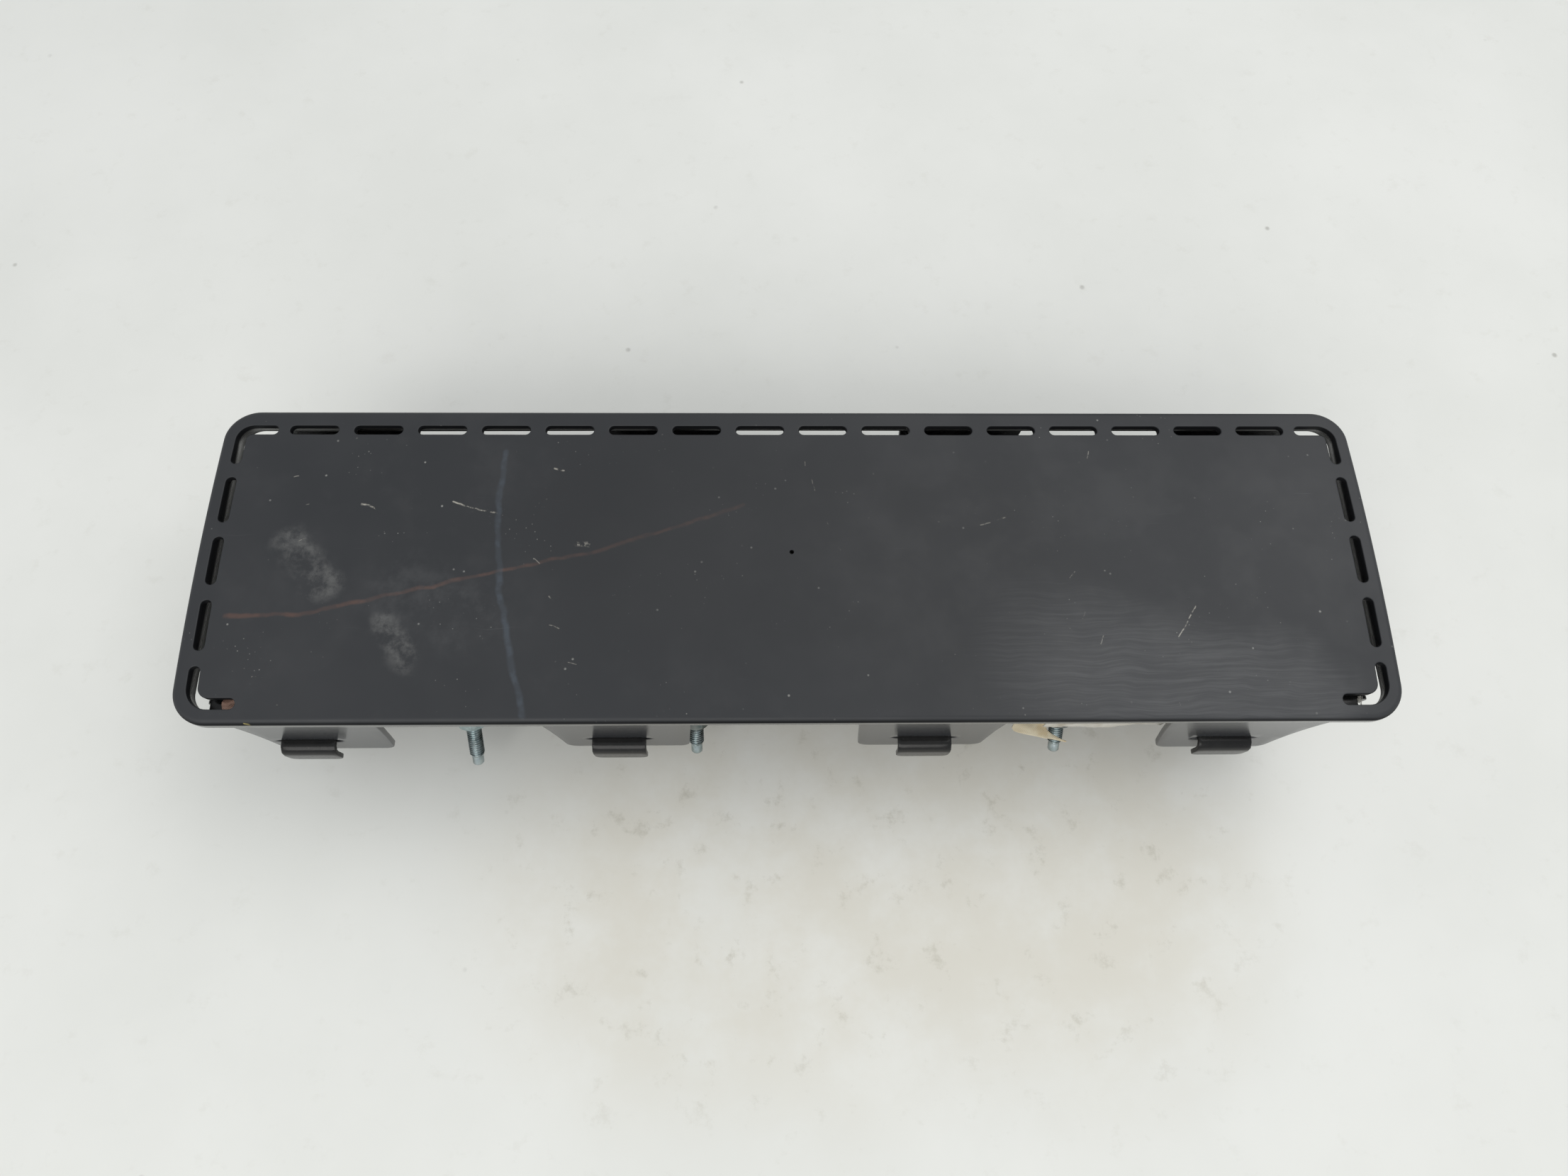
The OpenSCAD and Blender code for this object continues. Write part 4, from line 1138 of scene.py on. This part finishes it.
def end_cap(name, side, hole):
    sh = Shell()
    t = 1.2
    xe, x0 = CAN_HX - 0.02, CAN_HX - 12.0
    rows = []
    R1 = cap_ring(0.02)
    n = len(R1)
    prof = [(0.02, x0 + 0.3), (0.02, xe - 2.6)]
    prof += [(0.02 + 2.58 * (1 - math.cos(a)), xe - 2.6 + 2.6 * math.sin(a)) for a in np.radians([18, 36, 54, 72, 90])]
    for d, x in prof:
        Q = cap_ring(d)
        rows.append(np.c_[np.full(n, side * x), Q])
    outer = np.array(rows)
    prof = [(t, x0 + 0.3), (t, xe - t - 1.4)]
    prof += [(t + 1.4 * (1 - math.cos(a)), xe - t - 1.4 + 1.4 * math.sin(a)) for a in np.radians([30, 60, 90])]
    rows = []
    for d, x in prof:
        Q = cap_ring(d)
        rows.append(np.c_[np.full(n, side * x), Q])
    inner = np.array(rows)
    lip = np.array([inner[0], np.c_[np.full(n, side * (x0 + 0.05)), cap_ring(t - 0.3)],
                    np.c_[np.full(n, side * (x0 + 0.05)), cap_ring(0.3)], outer[0]])
    sh.grid(outer, close_v=True)
    sh.grid(inner, close_v=True, flip=True)
    sh.grid(lip, close_v=True)
    for Q, x, flip in ((outer[-1][:, 1:], xe, False), (inner[-1][:, 1:], xe - t, True)):
        pts = list(Q)
        ed = [(i, (i + 1) % n) for i in range(n)]
        hol = []
        if hole:
            for r in (14.0, 14.35):
                b = len(pts)
                A = arc((GEN_Y, GEN_Z), r, 0, 360, 40)[:-1]
                pts += list(A)
                ed += [(b + i, b + (i + 1) % 40) for i in range(40)]
        g = np.array(np.meshgrid(np.arange(-50, 51, 4.0), np.arange(4, 74, 4.0))).reshape(2, -1).T
        ok = in_poly(g, ccw(Q))
        dd, _ = seg_dist(g, segs_of(Q, True))
        ok &= dd > 1.5
        if hole:
            ok &= np.abs(np.hypot(g[:, 0] - GEN_Y, g[:, 1] - GEN_Z) - 17) > 4
        pts += list(g[ok])
        P, T, back = cdt(pts, ed, 1e-6)
        C = P[T].mean(1)
        ok = in_poly(C, ccw(Q))
        rr = np.hypot(P[:, 0] - GEN_Y, P[:, 1] - GEN_Z)
        if hole:
            ok &= np.hypot(C[:, 0] - GEN_Y, C[:, 1] - GEN_Z) > 13.95
        T = T[ok]
        dep = np.zeros(len(P))
        # pressed panel and, on the right, a dished seat round the hole
        px, pz = np.abs(P[:, 0] - 14), np.abs(P[:, 1] - 40)
        e = np.maximum(px - 20, pz - 22)
        dep += 1.3 * smooth01((2 - e) / 5)
        if hole:
            dep *= smooth01((rr - 15) / 4)
        V = np.c_[side * (x - dep), P]
        dd2, _ = seg_dist(P, segs_of(Q, True))
        V[dd2 < 1e-4, 0] = side * x
        sh.add(V, [tuple(q) for q in T])
        hol.append((P, T))
        if hole:
            A = arc((GEN_Y, GEN_Z), 14.0, 0, 360, 40)[:-1]
            if flip:
                i_edge = A
            else:
                o_edge = A
    if hole:
        xo, xi = side * xe, side * (xe - t)
        sh.grid(np.array([np.c_[np.full(40, xo), o_edge], np.c_[np.full(40, xi), i_edge]]), close_v=True)
    ob = sh.make(name, M_PAINT, sharp=38, weld=4e-6)
    return ob


cl = end_cap("end_plate_left", -1, False)
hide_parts("end_cap_left")
cr = end_cap("end_plate_right", 1, True)
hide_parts("end_cap_right")

# blind rivets: a domed head with a small centre dimple
rv = Shell()
for sx in (-1, 1):
    for wall, zz in ((-1, 48), (-1, 66), (1, 18), (1, 62)):
        y0 = CAN_F if wall < 0 else CAN_R

        def place(a, b, c, sx=sx, wall=wall, zz=zz, y0=y0):
            return np.c_[sx * (CAN_HX - 6) + a, y0 + wall * c, zz + b]

        lathe(rv, [(0.0, 0.72), (0.55, 0.74), (0.8, 0.98), (1.3, 0.96), (2.0, 0.8), (2.6, 0.46), (2.9, 0.1), (2.9, -0.02),
                   (1.55, -0.02), (1.55, -2.7), (2.4, -2.7), (2.3, -3.6), (1.5, -4.0), (0.0, -4.0)], place, 28)
rivets = rv.make("cap_rivets", M_BAND, sharp=45)
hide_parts("end_cap_rivets")


# ---- studs and nuts --------------------------------------------------------------
def on_stud(x0):
    oy, oz = GEN_Y - SQ * GEN_GAP, GEN_Z - SQ * GEN_GAP

    def place(a, b, c):
        return np.c_[x0 + a, oy + SQ * b + SQ * c, oz - SQ * b + SQ * c]

    return place


def thread(sh, place, z_top, z_dog, z_end, head):
    """An M6 external thread down to a dog point, with rolled crests and a chamfered start."""
    seg, p = 44, 1.0
    zs = np.arange(z_top, z_dog + 0.25, -p / 11)
    a = np.linspace(0, 2 * np.pi, seg, endpoint=False)
    rows = []
    for z in zs:
        ph = np.mod(z / p - a / (2 * np.pi), 1.0)
        tri = 1 - np.abs(2 * ph - 1)
        h = np.clip((tri - 0.10) / 0.74, 0, 1)
        r = 2.42 + 0.57 * h
        fade = np.clip((z - z_dog - 0.25) / 1.1, 0, 1)
        r = np.minimum(r, 2.42 + 0.57 * fade)
        if z == zs[-1]:
            r = 2.42 + 0 * r
        if z > z_top - 0.3:
            r = 2.42 + (r - 2.42) * (z_top - z) / 0.3
        rows.append(place(r * np.cos(a), r * np.sin(a), np.full(seg, z)))
    sh.grid(np.array(rows), close_v=True)
    prof = [(2.42, z_dog + 0.25), (2.25, z_dog + 0.05), (2.27, z_dog - 0.25), (2.27, z_end + 0.75), (2.18, z_end + 0.5),
            (1.8, z_end + 0.06), (1.65, z_end), (0.9, z_end + 0.0), (0.75, z_end + 0.12), (0.0, z_end + 0.15)]
    # the dog point follows the last turn, which starts at the root
    prof[0] = (2.42, float(zs[-1]))
    lathe(sh, prof, place, seg, caps=False)
    if head:
        lathe(sh, [(0, 1.2), (4.6, 1.2), (5.0, 0.9), (5.0, 0.0), (2.9, 0.0), (2.9, z_top + 0.3), (2.42, z_top)], place, seg, caps=False)
    else:
        lathe(sh, [(0, 1.4), (2.4, 1.4), (2.9, 1.0), (2.9, z_top + 0.3), (2.42, z_top)], place, seg, caps=False)


def nut(sh, place, z0, hgt, rot):
    """Hexagon nut with both faces chamfered; z0 is its outer face."""
    n = 96
    a = np.linspace(0, 2 * np.pi, n, endpoint=False)
    ph = np.mod(a - math.radians(rot) + math.pi / 6, math.pi / 3) - math.pi / 6
    hexr = 5.0 / np.cos(ph)
    # edges a little rounded
    hexr = np.minimum(hexr, 5.70)
    cut = np.maximum(0, (hexr - 4.85) * math.tan(math.radians(28)))
    rows = []

    def row(r, z):
        rows.append(place(r * np.cos(a), r * np.sin(a), z + 0 * a))

    one = np.ones(n)
    row(one * 3.02, z0 + 0.5 + 0 * a)
    row(one * 3.3, z0 + 0 * a)
    row(one * 4.7, z0 + 0 * a)
    row((hexr * 0.5 + 4.85 * 0.5), z0 + cut * 0.5 + 0.01)
    row(hexr, z0 + cut + 0.03)
    row(hexr, z0 + hgt * 0.5 + 0 * a)
    row(hexr, z0 + hgt - cut - 0.03)
    row((hexr * 0.5 + 4.85 * 0.5), z0 + hgt - cut * 0.5 - 0.01)
    row(one * 4.7, z0 + hgt + 0 * a)
    row(one * 3.3, z0 + hgt + 0 * a)
    row(one * 3.02, z0 + hgt - 0.5 + 0 * a)
    sh.grid(np.array(rows), close_u=True, close_v=True)


gs, ms, ns = Shell(), Shell(), Shell()
for i, (x, ln, nh, rot) in enumerate(STUDS):
    pl = on_stud(x)
    thread(ms if i == 0 else gs, pl, -SHEET - nh + 0.4, -SHEET - ln + 4.0, -SHEET - ln, i == 0)
    nut(ns, pl, -SHEET - nh, nh, rot)
studs_g = gs.make("generator_stud_threads", M_ZINC, sharp=50)
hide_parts("generator_studs")
studs_m = ms.make("mounting_stud_thread_form", M_ZINC, sharp=50)
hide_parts("mounting_stud")
nuts = ns.make("hex_nuts", M_NUT, sharp=30)
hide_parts("stud_nuts")


# ---- cloth ----------------------------------------------------------------------
def wob(x, s, k=1.0):
    return k * (0.5 * np.sin(x / 7.3 + 0.7 * np.sin(s / 9.0)) + 0.3 * np.sin(x / 3.1 + s / 5.7 + 1.3) + 0.2 * np.sin(x / 17.0 - s / 4.1))


# the sleeve lies over the cushion, and its apron hangs outside the can in front
def sleeve():
    sh = Shell()
    P, N, S = bend_path([(-50.55, 50), (-50.55, 75.85), (49.55, 75.85), (49.55, 12)], 1.6, 5)
    if N[0][0] > 0:
        N = -N
    o = list(fill((-195, 0), (195, 0), 4)) + list(fill((195, 0), (195, S[-1]), 4)) + \
        list(fill((195, S[-1]), (-195, S[-1]), 4)) + list(fill((-195, S[-1]), (-195, 0), 4))
    o = np.array(o)
    # torn and frayed along its ends
    j = np.abs(np.abs(o[:, 0]) - 195) < 0.1
    o[j, 0] -= np.sign(o[j, 0]) * (0.6 + 0.5 * np.sin(o[j, 1] * 1.7) + 0.4 * np.sin(o[j, 1] * 0.63 + 1))

    def fn(u, s, w):
        y, z = np.interp(s, S, P[:, 0]), np.interp(s, S, P[:, 1])
        ny, nz = np.interp(s, S, N[:, 0]), np.interp(s, S, N[:, 1])
        l = np.hypot(ny, nz)
        top = smooth01((s - 27) / 8) * smooth01((125 - s) / 10)
        d = w + top * (0.35 * wob(u, s) - 0.4 + 0.9 * np.exp(-((s - 75 - 4 * np.sin(u / 40)) / 3) ** 2)) * 1.0
        return np.c_[u, y + ny / l * d, z + nz / l * d]

    li = []
    for a, b in zip(S, S[1:]):
        n = max(1, int(math.ceil((b - a) / 3.2)))
        li += list(a + (b - a) * np.arange(n) / n)
    plate(sh, o, [], 0.35, 0.08, fn, step=3.0, lines=np.array(li)[1:], nf=1)
    return sh


sl = sleeve().make("cushion_sleeve", M_WRAP, sharp=60)
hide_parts("cushion_wrap")


def apron():
    sh = Shell()
    P, N, S = bend_path([(-54.35, 40.2), (-54.35, 75.95), (-50.9, 75.95)], 1.2, 5)
    if N[0][0] > 0:
        N = -N
    W = 46.0
    xs = np.linspace(0, W, 40)
    low = 0.5 + 0.5 * np.sin(xs * 0.9) + 0.35 * np.sin(xs * 2.3 + 1) + 1.2 * smooth01((xs - 26) / 18)
    o = [[x, l] for x, l in zip(xs, low)] + list(fill((W, low[-1] + 2), (W, S[-1]), 3)) + \
        list(fill((W, S[-1]), (0, S[-1]), 3)) + list(fill((0, S[-1]), (0, low[0] + 2), 3))
    o = np.array([list(q) for q in o])

    def fn(u, s, w):
        y, z = np.interp(s, S, P[:, 0]), np.interp(s, S, P[:, 1])
        ny, nz = np.interp(s, S, N[:, 0]), np.interp(s, S, N[:, 1])
        l = np.hypot(ny, nz)
        hang = smooth01((36 - s) / 30)
        d = w + hang * (0.9 * wob(u * 0.8, s) + 0.9)
        return np.c_[98 + u, y + ny / l * d, z + nz / l * d]

    li = []
    for a, b in zip(S, S[1:]):
        n = max(1, int(math.ceil((b - a) / 2.4)))
        li += list(a + (b - a) * np.arange(n) / n)
    plate(sh, o, [], 0.35, 0.08, fn, step=2.0, lines=np.array(li)[1:], nf=1)
    return sh


ap = apron().make("sleeve_apron", M_WRAP, sharp=60)


def tab():
    """The cream tab that sticks out over the right-hand nut, curled along its edges."""
    sh = Shell()
    o = np.array([[-20.2, 1.2], [-19.3, -0.2], [-17.5, -0.8], [-14, -1.6], [-10, -2.4], [-7.3, -3.1], [-5, -3.3], [-2.4, -3.75],
                  [1.2, -4.55], [1.5, -4.05], [-0.9, -3.1], [-2.4, -2.2], [-4, -1.4], [-5.7, 0.0], [-6.8, 2.2], [-6.8, 4.3], [-18.8, 4.3]])
    o2 = []
    for a, b in segs_of(o, True):
        o2 += list(fill(a, b, 0.9))
    o2 = np.array(o2)
    sn, cs = math.sin(math.radians(20.4)), math.cos(math.radians(20.4))

    def fn(u, v, w):
        h = 0.35 + w + 0.35 * np.sin(u / 2.6 + 0.6) * smooth01((3.5 - v) / 3) + 0.12 * np.sin(v / 0.8 + u / 2.1)
        h = h + 0.5 * smooth01((-v - 1.5) / 2.5) * smooth01((u + 16) / 8)
        return np.c_[108.5 + u, -55 + cs * v - sn * h, 30.5 + sn * v + cs * h]

    plate(sh, o2, [], 0.45, 0.07, fn, step=0.8, nf=1)
    return sh


tb = tab().make("stud_tab", M_TAB, sharp=60)
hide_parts("wrap_tab")


def cushion_block():
    bm = bmesh.new()

    def slab(x0, x1, prof):
        n = len(prof)
        a = [bm.verts.new((x0, y, z)) for y, z in prof]
        b = [bm.verts.new((x1, y, z)) for y, z in prof]
        for i in range(n):
            bm.faces.new((a[i], a[(i + 1) % n], b[(i + 1) % n], b[i]))
        return a, b

    full = [(-49.8, 74.9), (-49.8, 39.0), (-15.0, 4.4), (48.6, 4.4), (48.6, 74.9)]
    high = [(-49.8, 74.9), (-49.8, 62.7), (-14.0, 62.7), (-14.0, 4.4), (48.6, 4.4), (48.6, 74.9)]
    a, b = slab(-197.6, -68.4, full)
    bm.faces.new(a)
    bm.faces.new(b[::-1])
    a, b = slab(-80.0, 197.6, high)
    bm.faces.new(a)
    bm.faces.new(b[::-1])
    bmesh.ops.recalc_face_normals(bm, faces=bm.faces)
    me = bpy.data.meshes.new("folded_cushion_block")
    for v in bm.verts:
        v.co *= MM
    bm.to_mesh(me)
    bm.free()
    ob = bpy.data.objects.new("folded_cushion_block", me)
    bpy.context.collection.objects.link(ob)
    r = ob.modifiers.new("remesh", "REMESH")
    r.mode = "VOXEL"
    r.voxel_size = 0.0028
    dg = bpy.context.evaluated_depsgraph_get()
    m2 = bpy.data.meshes.new_from_object(ob.evaluated_get(dg))
    ob.modifiers.clear()
    ob.data = m2
    n = len(m2.vertices)
    co = np.empty(n * 3)
    m2.vertices.foreach_get("co", co)
    co = co.reshape(-1, 3)
    nr = np.empty(n * 3)
    m2.vertices.foreach_get("normal", nr)
    nr = nr.reshape(-1, 3)
    x, y, z = (co / MM).T
    # layers show as grooves on the sides, and puckers across them
    lay = 0.5 + 0.5 * np.cos((z + 1.2 * np.sin(x / 23.0) + 0.8 * np.sin(y / 11.0)) * 2 * np.pi / 6.5)
    puck = 0.5 + 0.5 * np.sin(x / 4.4 + 1.4 * np.sin(z / 8.0) + y / 9.0)
    side = 1 - np.abs(nr[:, 2])
    dep = side * (1.1 * (1 - lay) ** 2) + 0.5 * puck + (1 - side) * 0.5 * (0.5 + 0.5 * np.sin(y / 3.6 + 0.8 * np.sin(x / 15.0)))
    co = co - nr * (dep * MM)[:, None]
    m2.vertices.foreach_set("co", co.ravel())
    m2.update()
    m2.shade_smooth()
    m2.materials.clear()
    m2.materials.append(M_CUSHION)
    sm = ob.modifiers.new("soft", "SMOOTH")
    sm.factor = 0.5
    sm.iterations = 2
    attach(ob, "module")
    return ob


cu = cushion_block()
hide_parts("folded_cushion")


def fold(x0, x1, seed, fray):
    """Fabric that bulges out over the can's front edge, as seen through a corner slot."""
    sh = Shell()
    nu, nv = 46, 40
    u, v = np.meshgrid(np.linspace(0, 1, nu), np.linspace(0, 1, nv), indexing="ij")
    x = x0 + u * (x1 - x0)
    y = -56.0 + v * 9.0
    z = 75.75 + 0.95 * np.exp(-((v - 0.28 - 0.22 * u) / 0.13) ** 2) + 0.7 * np.exp(-((v - 0.62 + 0.25 * u) / 0.10) ** 2) \
        + 0.22 * np.sin(u * 13 + v * 7 + seed) + 0.12 * np.sin(u * 31 - v * 14 + seed)
    z = np.minimum(z, 76.7) - 0.25 * smooth01((0.1 - v) / 0.1)
    if fray:
        x = x + 0.5 * np.sin(v * 37 + seed) * (1 - u if x1 > x0 else u) * 0.6
    top = np.stack([x, y, z], -1)
    bot = top - [0, 0, 0.4]
    a = nu * nv
    F = []
    for i in range(nu - 1):
        for j in range(nv - 1):
            q = (i * nv + j, i * nv + j + 1, (i + 1) * nv + j + 1, (i + 1) * nv + j)
            F.append(q[::-1])
            F.append(tuple(k + a for k in q))
    rim_ = [i * nv for i in range(nu)] + [(nu - 1) * nv + j for j in range(1, nv)] + \
        [i * nv + nv - 1 for i in range(nu - 2, -1, -1)] + [j for j in range(nv - 2, 0, -1)]
    for i in range(len(rim_)):
        p, q = rim_[i], rim_[(i + 1) % len(rim_)]
        F.append((p, q, q + a, p + a))
    sh.add(np.concatenate([top.reshape(-1, 3), bot.reshape(-1, 3)]), F)
    return sh


fl = fold(-201.4, -186.0, 0.4, False).make("cushion_corner_fold", M_CUSHION, sharp=60)
# loose threads at the right-hand end
fr = Shell()
for k in range(9):
    t = np.linspace(0, 1, 14)
    cx = 203.5 + 0.16 * k + 0.5 * np.sin(t * 4 + k)
    cy = -52.2 - t * (2.0 + 0.22 * ((k * 5) % 7))
    cz = 75.5 + 0.5 * np.sin(t * 3.1 + k * 0.7) - 0.6 * t
    a = np.linspace(0, 2 * np.pi, 6, endpoint=False)
    fr.grid(np.array([np.c_[x + 0.11 * np.cos(a), np.full(6, y), z + 0.11 * np.sin(a)] for x, y, z in zip(cx, cy, cz)]), close_v=True)
frays = fr.make("frayed_threads", M_WRAP, sharp=80)

# ---- carried-over CAD nodes -----------------------------------------------------
for node, mat in {"generator_tube": M_TUBE, "generator_end_plug": M_BAND, "initiator_holder": M_BAND,
                  "initiator_pins": M_PIN, "shorting_clip": M_CLIP, "filter_screen": M_WIRE, "gas_generant": M_GEN,
                  "gas_deflector": M_BAND, "clamp_band_left": M_BAND, "clamp_band_right": M_BAND}.items():
    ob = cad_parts[node]
    for s in ob.material_slots:
        s.material = mat
    if not ob.material_slots:
        ob.data.materials.append(mat)

# ---- floor, light and camera ----------------------------------------------------
fm = Mat("pale_table")
n1 = fm.noise(6.0, 5, 0.6)
n2 = fm.noise(75.0, 6, 0.7)
n3 = fm.noise(18.0, 5, 0.65)
c = fm.mix(fm.ramp(n1, 0.3, 0.7), (0.715, 0.722, 0.69), (0.76, 0.765, 0.735))
flat = fm.warp(0.03, 12)
worn = fm.stroke(flat, [(-40.0, -110.0), (110.0, -105.0)], 120.0, 0.0)
c = fm.mix(fm.math("MULTIPLY", worn, fm.ramp(n3, 0.30, 0.62, 0.25, 0.75)), c, (0.64, 0.615, 0.54))
c = fm.mix(fm.math("MULTIPLY", fm.ramp(n2, 0.56, 0.72), fm.math("ADD", 0.10, fm.math("MULTIPLY", worn, 0.36))), c, (0.42, 0.40, 0.33))
gr = fm.math("MULTIPLY", fm.ramp(fm.voro(55.0), 0.10, 0.03), fm.ramp(fm.noise(22.0, 3, 0.6), 0.56, 0.64))
c = fm.mix(fm.math("MULTIPLY", gr, 0.45), c, (0.20, 0.19, 0.16))
fm.put(fm.b.inputs["Base Color"], c)
fm.b.inputs["Roughness"].default_value = 0.5
fm.b.inputs["Specular IOR Level"].default_value = 0.25
fm.put(fm.b.inputs["Normal"], fm.bump(n2, 0.0002, 0.25))
me = bpy.data.meshes.new("table_top")
me.from_pydata([(-3, -3, 0), (3, -3, 0), (3, 3, 0), (-3, 3, 0)], [], [(0, 1, 2, 3)])
me.materials.append(fm.m)
floor = bpy.data.objects.new("table_top", me)
bpy.context.collection.objects.link(floor)

world = bpy.data.worlds.new("soft_world")
world.use_nodes = True
bg = world.node_tree.nodes["Background"]
bg.inputs[0].default_value = (0.95, 0.975, 1.0, 1.0)
bg.inputs[1].default_value = 0.645
bpy.context.scene.world = world


def area(name, loc, look, size, power, color=(1, 1, 1)):
    L = bpy.data.lights.new(name, "AREA")
    L.shape = "RECTANGLE"
    L.size, L.size_y = size
    L.energy = power
    L.color = color
    o = bpy.data.objects.new(name, L)
    o.location = loc
    o.rotation_euler = (Vector(look) - Vector(loc)).to_track_quat("-Z", "Y").to_euler()
    bpy.context.collection.objects.link(o)
    return o


area("key", (0.7, 0.5, 1.7), (0, 0, 0), (1.4, 1.2), 11, (1.0, 0.99, 0.965))
area("fill", (-0.4, -1.5, 1.3), (0, 0, 0), (1.8, 1.2), 17, (1.0, 0.985, 0.95))

cam = bpy.data.cameras.new("camera")
cam.sensor_fit = "HORIZONTAL"
cam.sensor_width = 36.0
cam.lens = 1400.0 / 2212.0 * 36.0
cam.clip_start = 0.01
cob = bpy.data.objects.new("camera", cam)
X = Vector((0.99982158, -0.00813679, 0.01704676))
Y = Vector((0.00191412, 0.94146181, 0.33711422))
Z = Vector((-0.0187919, -0.33702144, 0.94130941))
M = Matrix((X, Y, Z)).transposed().to_4x4()
M.translation = Vector((-0.01016996, -0.13444379, 0.42228925))
cob.matrix_world = M
bpy.context.collection.objects.link(cob)
bpy.context.scene.camera = cob
bpy.context.scene.view_settings.view_transform = "Standard"
